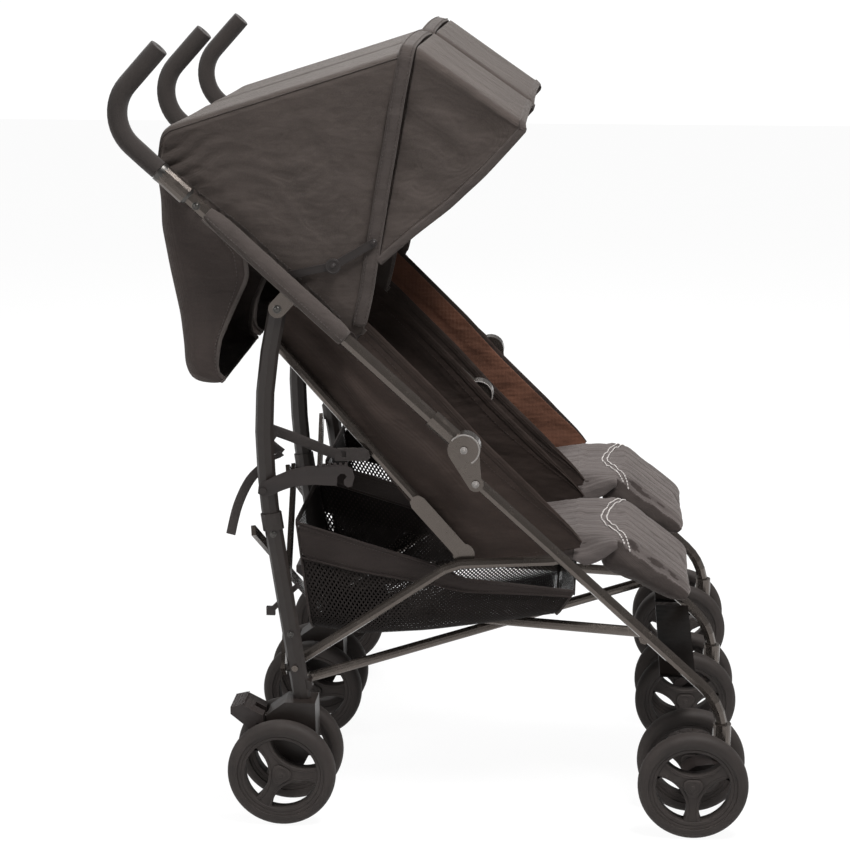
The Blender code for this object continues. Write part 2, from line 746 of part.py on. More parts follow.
def pedal(frame_y):
    outline = [
        (PEDAL_X - 0.038, PEDAL_Z + 0.025),
        (PEDAL_X - 0.022, PEDAL_Z + 0.029),
        (PEDAL_X + 0.007, PEDAL_Z + 0.014),
        (PEDAL_X + 0.007, PEDAL_Z - 0.010),
        (PEDAL_X - 0.006, PEDAL_Z - 0.011),
        (PEDAL_X - 0.038, PEDAL_Z + 0.015),
    ]
    tread = plate(outline, frame_y - PEDAL_HALF, frame_y + PEDAL_HALF)
    past = 2 * PEDAL_HALF
    bore = cross_rod((PEDAL_X, PEDAL_Z), frame_y - past, frame_y + past, PEDAL_PIN_RADIUS + GAP, 8)
    half = PEDAL_LUG_HALF + GAP
    rear = PEDAL_X - PEDAL_LUG_RADIUS - GAP
    slot = box((rear, frame_y - half, PEDAL_Z - 0.05), (REAR_LEG_FOOT_X, frame_y + half, PEDAL_Z + 0.05))
    return cut(tread, bore, slot)


def leg_tilt(z):
    """A turn from +Z to the rear leg's axis at a height."""
    rise = 0.01
    return math.atan2(rear_leg_x(z + rise) - rear_leg_x(z - rise), 2 * rise)


def behind_leg():
    """The direction square to the rear leg's straight part, towards the back."""
    tilt = leg_tilt(REAR_BAR_LOW_Z)
    return Vector((-math.cos(tilt), 0, math.sin(tilt)))


def rear_bar_boss(side):
    """The pin behind a rear leg that its rear crossed bars turn on; the middle leg has two pins."""
    backwards = behind_leg()
    foot = Vector((rear_leg_x(REAR_BAR_LOW_Z), 0, REAR_BAR_LOW_Z))
    stop = REAR_BAR_THICKNESS / 2 + GAP
    depth = REAR_BAR_FAR if side == "left" else REAR_BAR_NEAR
    boss = rod(foot + REAR_BAR_PIN_START * backwards, foot + (depth - stop) * backwards, REAR_BAR_PIN)
    if side != "middle":
        return boss
    return union(boss, rod(foot, foot + (REAR_BAR_FAR - stop) * backwards, REAR_BAR_INNER_PIN))


def leg_collar():
    """The band round a rear leg where the upper ends of the rear crossed bars slide."""
    tilt = leg_tilt(REAR_BAR_HIGH_Z)
    band = rod((0, 0, -COLLAR_HALF), (0, 0, COLLAR_HALF), REAR_LEG_DEPTH / 2 + COLLAR_WALL, 12)
    flat = (REAR_LEG_WIDTH / 2 + COLLAR_WALL) / (REAR_LEG_DEPTH / 2 + COLLAR_WALL)
    band.transform(Matrix.Diagonal((1, flat, 1, 1)))
    band.transform(Matrix.Rotation(tilt, 4, "Y"))
    height = REAR_BAR_HIGH_Z + COLLAR_LIFT
    band.transform(Matrix.Translation((rear_leg_x(height), 0, height)))
    return band


def lower_bar_pin(signs, lift):
    """The lug on a rear leg, with the pin that the lower crossed bars turn on."""
    spot = (LOWER_BAR_REAR_X, LOWER_BAR_REAR_Z + lift)
    axis = (rear_leg_x(spot[1]), spot[1])
    lug = arm(axis, spot, LOWER_BAR_LUG_WIDTH, -LOWER_BAR_LUG_HALF, LOWER_BAR_LUG_HALF)
    reach = LOWER_BAR_REAR_LANE - LOWER_BAR_WIDTH / 2 - GAP
    ends = [sign * reach for sign in signs] + [0.0]
    return union(lug, cross_rod(spot, min(ends), max(ends), LOWER_BAR_PIN))


def rail_bore():
    past = 2 * REAR_LEG_WIDTH
    return cross_rod((RAIL_PIVOT_X, RAIL_PIVOT_Z), -past, past, RAIL_PIN_RADIUS + GAP, 12)


bare_leg = union(rear_leg_tube(), rear_housing(), leg_collar())
for side, (frame_y, inward) in FRAMES.items():
    bar_lift = LOWER_BAR_SPLIT if side == "middle" else -LOWER_BAR_SPLIT
    whole = union(bare_leg.copy(), rear_bar_boss(side), lower_bar_pin(inward, bar_lift))
    whole = cut(whole, axle_bore(REAR_AXLE_X), rail_bore())
    place(f"rear_leg_{side}", moved(whole, frame_y), PAINTED, at(REAR_PIVOT, frame_y))
for side, (frame_y, _) in BAYS.items():
    place(f"brake_pedal_{side}", pedal(frame_y), PLASTIC, (PEDAL_X, frame_y, PEDAL_Z))


# Seat rails and recline brackets


def rail(frame_y, sign):
    """A rail from the rear leg up and along under the seat, with a pin towards the front leg."""
    y = frame_y + sign * RAIL_LANE
    outline = [
        (RAIL_PIVOT_X, RAIL_PIVOT_Z),
        (RAIL_KNEE_X, RAIL_KNEE_Z),
        (RAIL_KNEE_X + 0.022, RAIL_KNEE_Z + 0.008),
        (FRONT_PIVOT[0] - 0.016, FRONT_PIVOT[1] - 0.005),
        FRONT_PIVOT,
    ]
    pin_low, pin_high = sorted((frame_y + sign * (FRONT_LEG_RADIUS + GAP), y))
    pin = cross_rod(FRONT_PIVOT, pin_low, pin_high, RAIL_PIN_RADIUS)
    return union(side_tube(outline, y, RAIL_RADIUS), pin)


def rail_with_pin(frame_y, inward):
    """The frame's rails on the pin that runs through its rear leg; an outer pin ends in a rivet head."""
    rails = [rail(frame_y, sign) for sign in inward]
    far = RAIL_LANE if len(inward) == 2 else REAR_LEG_WIDTH / 2 + 0.003
    low, high = sorted((frame_y - inward[-1] * far, frame_y + inward[-1] * RAIL_LANE))
    pin = cross_rod((RAIL_PIVOT_X, RAIL_PIVOT_Z), low, high, RAIL_PIN_RADIUS)
    return union(pin, *rails)


BACK_LANE = RAIL_LANE + RAIL_RADIUS + RECLINE_DISC_THICKNESS + 2 * GAP + BACK_TUBE_RADIUS


def back_point(s, lift=0.0):
    """The point s up the backrest from its hinge, lifted towards the sitter."""
    x = RECLINE_X + s * math.cos(BACK_ANGLE) + lift * math.sin(BACK_ANGLE)
    z = RECLINE_Z + s * math.sin(BACK_ANGLE) - lift * math.cos(BACK_ANGLE)
    return x, z


def recline_bracket(frame_y, sign):
    """The steel arm between a rail and its back tube, with the disc that the tube reclines on."""
    inner = RAIL_LANE + RAIL_RADIUS + GAP
    low, high = sorted((frame_y + sign * inner, frame_y + sign * (inner + RECLINE_DISC_THICKNESS)))
    disc = cross_rod((RECLINE_X, RECLINE_Z), low, high, RECLINE_DISC_RADIUS, 20)
    tip = back_point(RECLINE_ARM_LENGTH)
    return union(disc, arm((RECLINE_X, RECLINE_Z), tip, RECLINE_ARM_WIDTH, low, high))


def back_tube(frame_y, sign):
    y = frame_y + sign * BACK_LANE
    return side_tube([back_point(0.0), back_point(BACK_LENGTH)], y, BACK_TUBE_RADIUS)


for side, (frame_y, inward) in FRAMES.items():
    rail_place = (RAIL_PIVOT_X, frame_y, RAIL_PIVOT_Z)
    place(f"seat_rail_{side}", rail_with_pin(frame_y, inward), PAINTED, rail_place)
for side, (frame_y, sign) in BAYS.items():
    for which, y, toward in (("outer", frame_y, sign), ("inner", MIDDLE, -sign)):
        hinge = (RECLINE_X, y, RECLINE_Z)
        place(f"recline_bracket_{side}_{which}", recline_bracket(y, toward), PAINTED, hinge)
        place(f"backrest_tube_{side}_{which}", back_tube(y, toward), PAINTED, hinge)


# Crossed bars: under the seats, and behind the rear legs


def lower_bar(start_y, end_y, lift):
    """A flat oval bar from a rear leg to the neighbouring frame's front leg."""
    start = Vector((LOWER_BAR_REAR_X, start_y, LOWER_BAR_REAR_Z + lift))
    end = Vector((LOWER_BAR_FRONT_X, end_y, LOWER_BAR_FRONT_Z + lift))
    mesh = rod((0, 0, 0), (0, 0, (end - start).length), LOWER_BAR_HEIGHT / 2, 12)
    mesh.transform(Matrix.Diagonal((1, LOWER_BAR_WIDTH / LOWER_BAR_HEIGHT, 1, 1)))
    forward = (end - start).normalized()
    sideways = Vector((0, 0, 1)).cross(forward).normalized()
    upward = forward.cross(sideways)
    turn = Matrix((upward, -sideways, forward)).transposed().to_4x4()
    if turn.determinant() < 0:
        turn = Matrix((upward, sideways, forward)).transposed().to_4x4()
    mesh.transform(Matrix.Translation(start) @ turn)
    rise = Vector((0, 0, LOWER_BAR_WIDTH / 2))
    ends = [rod(end - rise, end + rise, LOWER_BAR_WIDTH / 2, 10) for end in (start, end)]
    return union(mesh, *ends)


def rear_bar(start_y, end_y, depth, bored=False):
    """A flat bar behind the rear legs, from one leg's foot to the neighbour's collar."""
    backwards = depth * behind_leg()
    low = Vector((rear_leg_x(REAR_BAR_LOW_Z), start_y, REAR_BAR_LOW_Z)) + backwards
    high = Vector((rear_leg_x(REAR_BAR_HIGH_Z), end_y, REAR_BAR_HIGH_Z)) + backwards
    length = (high - low).length
    half = REAR_BAR_WIDTH / 2
    mesh = box((-REAR_BAR_THICKNESS / 2, -half, -half), (REAR_BAR_THICKNESS / 2, half, length + half))
    forward = (high - low).normalized()
    thin = Vector((0, 1, 0)).cross(Vector((high.x - low.x, 0, high.z - low.z))).normalized()
    wide = forward.cross(thin)
    mesh.transform(Matrix.Translation(low) @ Matrix((thin, wide, forward)).transposed().to_4x4())
    if not bored:
        return mesh
    past = 2 * REAR_BAR_THICKNESS * behind_leg()
    return cut(mesh, rod(low - past, low + past, REAR_BAR_INNER_PIN + GAP))


for side, (frame_y, sign) in BAYS.items():
    outer_y = frame_y + sign * LOWER_BAR_REAR_LANE
    inner_y = MIDDLE - sign * LOWER_BAR_REAR_LANE
    outer_end = frame_y + sign * LOWER_BAR_FRONT_LANE
    inner_end = MIDDLE - sign * LOWER_BAR_FRONT_LANE
    outer = lower_bar(outer_y, inner_end, -LOWER_BAR_SPLIT)
    inner = lower_bar(inner_y, outer_end, LOWER_BAR_SPLIT)
    place(f"lower_bar_{side}_outer", outer, PAINTED, (LOWER_BAR_REAR_X, outer_y, LOWER_BAR_REAR_Z))
    place(f"lower_bar_{side}_inner", inner, PAINTED, (LOWER_BAR_REAR_X, inner_y, LOWER_BAR_REAR_Z))
    pivot_x = rear_leg_x(REAR_BAR_LOW_Z)
    if side == "right":
        outer = rear_bar(frame_y, MIDDLE, REAR_BAR_NEAR)
        inner = rear_bar(MIDDLE, frame_y, REAR_BAR_FAR)
    else:
        outer = rear_bar(frame_y, MIDDLE, REAR_BAR_FAR)
        inner = rear_bar(MIDDLE, frame_y, REAR_BAR_NEAR, bored=True)
    place(f"rear_bar_{side}_outer", outer, PAINTED, (pivot_x, frame_y, REAR_BAR_LOW_Z))
    place(f"rear_bar_{side}_inner", inner, PAINTED, (pivot_x, MIDDLE, REAR_BAR_LOW_Z))


# Hoods with their hinge discs and stays

HOOD_OUTLINE = [
    (-0.194, 0.667),
    (-0.300, 0.768),
    (-0.447, 0.900),
    (-0.440, 0.942),
    (-0.427, 0.955),
    (-0.100, 1.058),
    (0.040, 0.961),
    (0.040, 0.951),
    (-0.061, 0.848),
    (-0.150, 0.775),
    (-0.164, 0.692),
    (-0.178, 0.669),
]
HOOD_INNER_OUTLINE = [
    (-0.194, 0.640),
    (-0.443, 0.870),
    (-0.443, 0.901),
    (-0.4365, 0.9405),
    (-0.4253, 0.9522),
    (-0.1005, 1.0545),
    (0.033, 0.962),
    (0.050, 0.930),
    (-0.060, 0.820),
    (-0.120, 0.690),
]
FLAP_OUTLINE = [
    (-0.4465, 0.890),
    (-0.445, 0.817),
    (-0.422, 0.697),
    (-0.417, 0.622),
    (-0.398, 0.602),
    (-0.372, 0.622),
    (-0.369, 0.657),
    (-0.330, 0.735),
    (-0.300, 0.775),
    (-0.440, 0.898),
]
FLAP_INNER_OUTLINE = [
    (-0.4400, 0.905),
    (-0.442, 0.817),
    (-0.419, 0.697),
    (-0.414, 0.6235),
    (-0.398, 0.6065),
    (-0.350, 0.590),
    (-0.280, 0.770),
]


def shell(outline, inner_outline, y_low, y_high, wall):
    """A hollow cover between two side walls, open where the inner outline runs past the outer one."""
    return cut(plate(outline, y_low, y_high), plate(inner_outline, y_low + wall, y_high - wall))


def hood(frame_y, sign):
    low, high = sorted((frame_y + sign * HOOD_LANE, MIDDLE - sign * HOOD_LANE))
    return shell(HOOD_OUTLINE, HOOD_INNER_OUTLINE, low, high, HOOD_WALL)


def hood_hinge(frame_y, sign):
    """The disc between the handle and the hood, with the strap that carries the hood's stay."""
    low = TUBE_RADIUS + GAP
    inner, outer = sorted((frame_y + sign * low, frame_y + sign * (HOOD_LANE - GAP)))
    disc = cross_rod(HOOD_PIVOT, inner, outer, HOOD_DISC_RADIUS, 16)
    inner, outer = sorted((frame_y + sign * low, frame_y + sign * (low + STAY_THICKNESS)))
    strap = arm(HOOD_PIVOT, STAY_PIVOT, STAY_WIDTH, inner, outer)
    return union(disc, strap)


for side, (frame_y, sign) in BAYS.items():
    place(f"hood_hinge_{side}", hood_hinge(frame_y, sign), PLASTIC, at(HOOD_PIVOT, frame_y))
    place(f"hood_{side}", hood(frame_y, sign), FABRIC, at(HOOD_PIVOT, frame_y))
    knuckle_place = (STAY_KNUCKLE_X, STAY_KNUCKLE_Z)
    hood_place = (STAY_HOOD_X, STAY_HOOD_Z)
    low = frame_y + sign * (TUBE_RADIUS + GAP)
    high = frame_y + sign * (HOOD_LANE - GAP)
    rear_low, rear_high = sorted((high, high - sign * STAY_THICKNESS))
    rear_arm = arm(STAY_PIVOT, knuckle_place, STAY_WIDTH, rear_low, rear_high)
    front_arm = union(
        arm(knuckle_place, hood_place, STAY_WIDTH, *sorted((low, low + sign * STAY_THICKNESS))),
        cross_rod(hood_place, *sorted((low + sign * STAY_THICKNESS / 2, high)), STAY_PIN_RADIUS),
    )
    place(f"hood_stay_rear_{side}", rear_arm, PLASTIC, at(STAY_PIVOT, frame_y))
    place(f"hood_stay_front_{side}", front_arm, PLASTIC, at(hood_place, frame_y))


def rear_flap(frame_y, sign):
    """The flap behind each seat, tucked between the hood's sides, with a cut-out at each side."""
    low, high = sorted((frame_y + sign * FLAP_LANE, MIDDLE - sign * FLAP_LANE))
    return shell(FLAP_OUTLINE, FLAP_INNER_OUTLINE, low, high, FLAP_WALL)


flap_link = FLAP_LANE + FLAP_WALL / 2
flap_bridge = box(
    (FLAP_BRIDGE_X - FLAP_BRIDGE_HALF, -flap_link, FLAP_BRIDGE_Z),
    (FLAP_BRIDGE_X + FLAP_BRIDGE_HALF, flap_link, FLAP_BRIDGE_Z + FLAP_BRIDGE_HEIGHT),
)
flaps = union(flap_bridge, *[rear_flap(frame_y, sign) for frame_y, sign in BAYS.values()])
place("hood_flaps", flaps, FABRIC, at(along(FERRULE_START), MIDDLE))


# Soft seat: pads, backs with side panels, calf rests, basket


def pad(length, width, thickness, crown, channels, drawn_in):
    """A sewn pad, crowned, with drawn-in sides and sewn channels. X is its length, Z its top."""
    mesh = bpy.data.meshes.new("pad")
    shape = bmesh.new()
    bmesh.ops.create_cube(shape, size=1.0)
    along_x = [edge for edge in shape.edges if abs(edge.verts[0].co.x - edge.verts[1].co.x) > 0.5]
    bmesh.ops.subdivide_edges(shape, edges=along_x, cuts=2 * channels + 3, use_grid_fill=True)
    along_y = [edge for edge in shape.edges if abs(edge.verts[0].co.y - edge.verts[1].co.y) > 0.5]
    bmesh.ops.subdivide_edges(shape, edges=along_y, cuts=5, use_grid_fill=True)
    for vertex in shape.verts:
        u = vertex.co.x * 2
        v = vertex.co.y * 2
        dome = (1 - abs(u) ** 4) * (1 - abs(v) ** 4)
        groove = 0.5 + 0.5 * math.cos(u * math.pi * (channels + 1))
        drawn_x = 1 - drawn_in * (1 - v * v) * abs(u) ** 3
        drawn_y = 1 - drawn_in * (1 - u * u) * abs(v) ** 3
        top = thickness / 2 + crown * dome - 0.25 * crown * groove * dome
        vertex.co.x = u * length / 2 * drawn_x
        vertex.co.y = v * width / 2 * drawn_y
        vertex.co.z = top if vertex.co.z > 0 else -thickness / 2
    bmesh.ops.triangulate(shape, faces=shape.faces)
    shape.to_mesh(mesh)
    shape.free()
    return mesh


PANEL_LANE = BACK_LANE + BACK_TUBE_RADIUS + GAP
SEAT_LANE = PANEL_LANE + PANEL_THICKNESS + GAP


def seat_span(frame_y, sign):
    """The middle of a seat across the stroller, and its clear width."""
    outer = frame_y + sign * SEAT_LANE
    inner = MIDDLE - sign * SEAT_LANE
    return (outer + inner) / 2, abs(outer - inner)


def seat_pad(frame_y, sign):
    centre, width = seat_span(frame_y, sign)
    length = SEAT_FRONT_X - SEAT_REAR_X
    mesh = pad(length, width, SEAT_THICKNESS, PAD_CROWN, 3, 0.04)
    mid_x = (SEAT_FRONT_X + SEAT_REAR_X) / 2
    lift = SEAT_BOTTOM_Z + SEAT_THICKNESS / 2 + length / 2 * math.sin(SEAT_RISE)
    mesh.transform(Matrix.Translation((mid_x, centre, lift)) @ Matrix.Rotation(-SEAT_RISE, 4, "Y"))
    return mesh


def back_pad(frame_y):
    """The back's pad, sewn into the side panels."""
    centre = (frame_y + MIDDLE) / 2
    width = FRAME_SPACING - 2 * PANEL_LANE - PANEL_THICKNESS
    length = BACK_LENGTH - BACK_PAD_START
    mesh = pad(length, width, BACK_PAD_THICKNESS, PAD_CROWN, 4, 0.0)
    mid = back_point(BACK_PAD_START + length / 2, BACK_PAD_THICKNESS / 2 - BACK_TUBE_RADIUS)
    turn = Matrix.Rotation(math.pi - BACK_ANGLE, 4, "Y") @ Matrix.Rotation(math.pi, 4, "Z")
    mesh.transform(Matrix.Translation(at(mid, centre)) @ turn)
    return mesh


def side_panel(y_low, y_high):
    """The cloth beside the seat, from the backrest forward to the handle and the front leg."""
    outline = [
        back_point(-PANEL_BACK_DROP, -PANEL_BACK_DROP),
        back_point(BACK_LENGTH + PANEL_BACK_DROP, -PANEL_BACK_DROP),
        along(PANEL_TOP_ALONG, -PANEL_TOP_DROP),
        along(0.200, PANEL_LIP),
        along(-0.020, PANEL_LIP),
        (0.047, 0.457),
        (0.072, 0.420),
        (0.094, 0.403),
        (0.132, 0.386),
        (0.082, 0.366),
        (0.013, 0.356),
    ]
    return plate(outline, y_low, y_high)


def seat_back(frame_y, sign):
    """The back's pad between two side panels of cloth."""
    outer = sorted((frame_y + sign * PANEL_LANE, frame_y + sign * (PANEL_LANE + PANEL_THICKNESS)))
    inner = sorted((MIDDLE - sign * PANEL_LANE, MIDDLE - sign * (PANEL_LANE + PANEL_THICKNESS)))
    return union(back_pad(frame_y), side_panel(*outer), side_panel(*inner))


def calf_rest(frame_y, sign):
    """The padded front that hangs from the seat's front edge and lifts to carry the calves."""
    centre, width = seat_span(frame_y, sign)
    outline = [
        (CALF_PIVOT_X + 0.002, 0.388),
        (CALF_PIVOT_X + 0.019, 0.3975),
        (CALF_PIVOT_X + 0.034, 0.392),
        (0.218, 0.363),
        (0.250, 0.338),
        (0.278, 0.317),
        (0.283, 0.306),
        (0.276, 0.298),
        (0.256, 0.302),
        (0.200, 0.328),
        (CALF_PIVOT_X + 0.008, 0.346),
    ]
    mesh = plate(outline, centre - width / 2, centre + width / 2)
    shape = bmesh.new()
    shape.from_mesh(mesh)
    across = [edge for edge in shape.edges if abs(edge.verts[0].co.y - edge.verts[1].co.y) > width / 2]
    bmesh.ops.subdivide_edges(shape, edges=across, cuts=5, use_grid_fill=True)
    for vertex in shape.verts:
        v = (vertex.co.y - centre) / (width / 2)
        lift = CALF_CROWN * (1 - abs(v) ** 3)
        outward = Vector((vertex.co.x - CALF_CORE_X, 0, vertex.co.z - CALF_CORE_Z)).normalized()
        vertex.co += outward * (lift - CALF_CROWN)
    shape.to_mesh(mesh)
    shape.free()
    half = width / 2 - GAP
    roll = cross_rod((CALF_PIVOT_X, CALF_PIVOT_Z), centre - half, centre + half, CALF_ROLL_RADIUS, 12)
    return union(mesh, roll)


BASKET_OUTLINE = [
    (-0.272, 0.408),
    (-0.080, 0.352),
    (-0.040, 0.332),
    (0.118, 0.318),
    (0.090, 0.274),
    (-0.252, 0.234),
]
BASKET_INNER_OUTLINE = [
    (-0.269, 0.450),
    (0.125, 0.360),
    (0.0875, 0.277),
    (-0.249, 0.2375),
]


def basket(frame_y, sign):
    low, high = sorted((frame_y + sign * SEAT_LANE, MIDDLE - sign * SEAT_LANE))
    reach = RAIL_LANE + RAIL_RADIUS + GAP
    low_tab = (BASKET_TAB_X, min(frame_y, MIDDLE) + reach, BASKET_TAB_Z)
    high_tab = (BASKET_TAB_X + BASKET_TAB_WIDTH, max(frame_y, MIDDLE) - reach, BASKET_TAB_Z + BASKET_WALL)
    low_inside = (BASKET_OUTLINE[0][0], low + BASKET_WALL, 0)
    high_inside = (BASKET_OUTLINE[3][0], high - BASKET_WALL, 2 * BASKET_TAB_Z)
    tabs = cut(box(low_tab, high_tab), box(low_inside, high_inside))
    return union(shell(BASKET_OUTLINE, BASKET_INNER_OUTLINE, low, high, BASKET_WALL), tabs)


both = list(BAYS.values())
rail_centre = (RAIL_PIVOT_X, MIDDLE, RAIL_PIVOT_Z)
link = SEAT_LANE + LINK_OVERLAP
pad_link_z = SEAT_BOTTOM_Z + LINK_THICKNESS
pad_bridge = box((PAD_LINK_REAR_X, -link, pad_link_z), (LINK_FRONT_X, link, pad_link_z + LINK_THICKNESS))
place("seat_pads", union(pad_bridge, *[seat_pad(*bay) for bay in both]), PAD_FABRIC, rail_centre)
basket_bridge = box(
    (BASKET_LINK_REAR_X, -link, BASKET_LINK_Z), (LINK_FRONT_X, link, BASKET_LINK_Z + LINK_THICKNESS / 2)
)
place("baskets", union(basket_bridge, *[basket(*bay) for bay in both]), MESH_FABRIC, rail_centre)
for side, (frame_y, sign) in BAYS.items():
    centre, _ = seat_span(frame_y, sign)
    place(f"seat_back_{side}", seat_back(frame_y, sign), PAD_FABRIC, (RECLINE_X, frame_y, RECLINE_Z))
    calf_place = (CALF_PIVOT_X, centre, CALF_PIVOT_Z)
    place(f"calf_rest_{side}", calf_rest(frame_y, sign), PAD_FABRIC, calf_place)


# Footrests, carry latch and fold lock


def footrest():
    """One board across both bays, clamped round the middle front leg and turned up at the outer legs."""
    reach = FRAME_SPACING - FRONT_LEG_RADIUS - FOOTREST_GAP
    low = (FOOTREST_X, -reach, FOOTREST_Z)
    high = (FOOTREST_X + FOOTREST_DEPTH, reach, FOOTREST_Z + FOOTREST_THICKNESS)
    board = box(low, high)
    outline = [
        (FOOTREST_X + 0.004, FOOTREST_Z + 0.001),
        (FOOTREST_X + FOOTREST_DEPTH - 0.004, FOOTREST_Z + 0.001),
        front_leg_point(FOOTREST_TAB_LOW),
        front_leg_point(FOOTREST_TAB_HIGH),
    ]
    tab = FRONT_LEG_RADIUS + FOOTREST_GAP
    half = FOOTREST_TAB_HALF
    tabs = [plate(outline, y - half, y + half) for y in (-reach, -tab, tab, reach)]
    slot_low = (FOOTREST_X + FOOTREST_SLOT_START, half - tab, 0)
    slot_high = (FOOTREST_X + 2 * FOOTREST_DEPTH, tab - half, 2 * FOOTREST_Z)
    return cut(union(board, *tabs), box(slot_low, slot_high))


LATCH_OUTLINE = [
    (-0.007, -0.004),
    (-0.006, 0.006),
    (0.003, 0.013),
    (0.018, 0.021),
    (0.036, 0.029),
    (0.060, 0.035),
    (0.111, 0.038),
    (0.121, 0.033),
    (0.124, 0.021),
    (0.121, 0.009),
    (0.115, 0.007),
    (0.110, 0.011),
    (0.110, 0.017),
    (0.114, 0.021),
    (0.111, 0.026),
    (0.105, 0.026),
    (0.101, 0.021),
    (0.100, 0.009),
    (0.070, 0.010),
    (0.042, 0.007),
    (0.024, 0.000),
    (0.012, -0.006),
    (0.001, -0.009),
]


def carry_latch():
    """A hooked arm on the outer side of the right rear leg that holds the folded stroller shut."""
    outline = [(LATCH_X + across, LATCH_Z + up) for across, up in LATCH_OUTLINE]
    face = RIGHT - LATCH_LANE
    arm_solid = plate(outline, face - LATCH_THICKNESS, face)
    inside = face - LATCH_THICKNESS / 2
    rivet_end = face - LATCH_THICKNESS - LATCH_RIVET_HEIGHT
    rivet = cross_rod((LATCH_X, LATCH_Z), rivet_end, inside, LATCH_RIVET_RADIUS)
    spacer_end = RIGHT - REAR_LEG_WIDTH / 2 - GAP
    spacer = cross_rod((LATCH_X, LATCH_Z), inside, spacer_end, LATCH_SPACER_RADIUS)
    return union(arm_solid, rivet, spacer)


def fold_lock():
    """The foot lever on the inner side of the right rear leg that frees the crossed bars."""
    low = RIGHT + REAR_LEG_WIDTH / 2 + GAP
    reach = LOCK_LENGTH / 2
    half = LOCK_WIDTH / 2
    bar = plate(
        [
            (LOCK_X - reach, LOCK_Z - reach + half),
            (LOCK_X - reach + half, LOCK_Z - reach),
            (LOCK_X + reach, LOCK_Z + reach - half),
            (LOCK_X + reach - half, LOCK_Z + reach),
        ],
        low,
        low + LOCK_THICKNESS,
    )
    toe_low = (LOCK_X - reach - TOE_REACH, low, LOCK_Z - reach - TOE_REACH)
    toe_high = (LOCK_X - reach + TOE_REACH, low + 2 * LOCK_THICKNESS, LOCK_Z - reach + TOE_REACH)
    return union(bar, box(toe_low, toe_high))


place("footrest", footrest(), PLASTIC, at((KNUCKLE_X, KNUCKLE_Z), MIDDLE))
place("carry_latch", carry_latch(), PLASTIC, (LATCH_X, RIGHT, LATCH_Z))
place("fold_lock_lever", fold_lock(), PLASTIC, (LOCK_X, RIGHT, LOCK_Z))
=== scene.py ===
"""The double stroller's looks: soft goods, wheels, trim, materials, light and camera round the frame."""

import math

import bmesh
import bpy
from mathutils import Matrix, Vector, noise


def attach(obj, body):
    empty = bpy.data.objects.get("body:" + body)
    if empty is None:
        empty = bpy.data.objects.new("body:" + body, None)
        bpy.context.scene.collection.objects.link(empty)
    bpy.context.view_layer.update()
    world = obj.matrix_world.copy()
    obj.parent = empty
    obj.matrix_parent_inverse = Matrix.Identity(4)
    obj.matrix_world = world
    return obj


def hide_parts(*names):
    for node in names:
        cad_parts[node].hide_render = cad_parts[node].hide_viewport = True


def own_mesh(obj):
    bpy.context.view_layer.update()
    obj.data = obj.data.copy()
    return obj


# Camera first

LENS = 92.6
SENSOR = 36.0
CAMERA_PLACE = Vector((0.220961, -3.1523, 1.2534))
CAMERA_YAW = 0.0826
CAMERA_PITCH = 0.2400

camera_data = bpy.data.cameras.new("camera")
camera_data.lens = LENS
camera_data.sensor_width = SENSOR
camera = bpy.data.objects.new("camera", camera_data)
bpy.context.scene.collection.objects.link(camera)
camera.location = CAMERA_PLACE
aim = Vector((
    -math.sin(CAMERA_YAW) * math.cos(CAMERA_PITCH),
    math.cos(CAMERA_YAW) * math.cos(CAMERA_PITCH),
    -math.sin(CAMERA_PITCH),
))
camera.rotation_euler = aim.to_track_quat("-Z", "Y").to_euler()
bpy.context.scene.camera = camera

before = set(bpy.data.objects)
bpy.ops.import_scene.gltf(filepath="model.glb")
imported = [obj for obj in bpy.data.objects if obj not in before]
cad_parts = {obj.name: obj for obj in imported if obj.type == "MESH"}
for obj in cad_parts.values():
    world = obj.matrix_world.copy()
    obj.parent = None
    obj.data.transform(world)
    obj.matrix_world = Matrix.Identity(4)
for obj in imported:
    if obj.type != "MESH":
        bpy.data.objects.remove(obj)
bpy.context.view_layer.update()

# Places of the frame, measured from the side frames' own origin, in metres

SHIFT = 0.073961
SPACING = 0.325
HANDLE_ANGLE = math.radians(42.3)
KNUCKLE = (-0.034, 0.529)
BACK_HINGE = (-0.036, 0.372)
BACK_ANGLE = math.radians(131.6)
WHEEL_R = 0.075
FRAMES = {"right": -SPACING, "middle": 0.0, "left": SPACING}
BAYS = {"right": (-SPACING, 1), "left": (SPACING, -1)}


def V(x, y, z):
    """A world point from a side frame's x and z."""
    return Vector((x + SHIFT, y, z))


def along(s, lift=0.0):
    """The (x, z) point s up the handle's axis from the knuckle, lifted square to it."""
    x = KNUCKLE[0] - s * math.cos(HANDLE_ANGLE) + lift * math.sin(HANDLE_ANGLE)
    z = KNUCKLE[1] + s * math.sin(HANDLE_ANGLE) + lift * math.cos(HANDLE_ANGLE)
    return x, z


def back_point(s, lift=0.0):
    """The (x, z) point s up a backrest from its hinge, lifted towards the sitter."""
    x = BACK_HINGE[0] + s * math.cos(BACK_ANGLE) + lift * math.sin(BACK_ANGLE)
    z = BACK_HINGE[1] + s * math.sin(BACK_ANGLE) - lift * math.cos(BACK_ANGLE)
    return x, z


def at(spot, y):
    """A world point from an (x, z) pair."""
    return V(spot[0], y, spot[1])


def placed(spots, y):
    """World points from (x, z) pairs, all in one y plane."""
    return [V(x, y, z) for x, z in spots]


def mixed(low, high, share):
    """The (x, z) pair at a share of the way from one to another."""
    return low[0] + (high[0] - low[0]) * share, low[1] + (high[1] - low[1]) * share


ACROSS = Vector((0, 1, 0))
HEM_UP = Vector((0.67, 0, 0.74))
CLOTH = 0.0014
THIN_CLOTH = 0.0010

# Materials


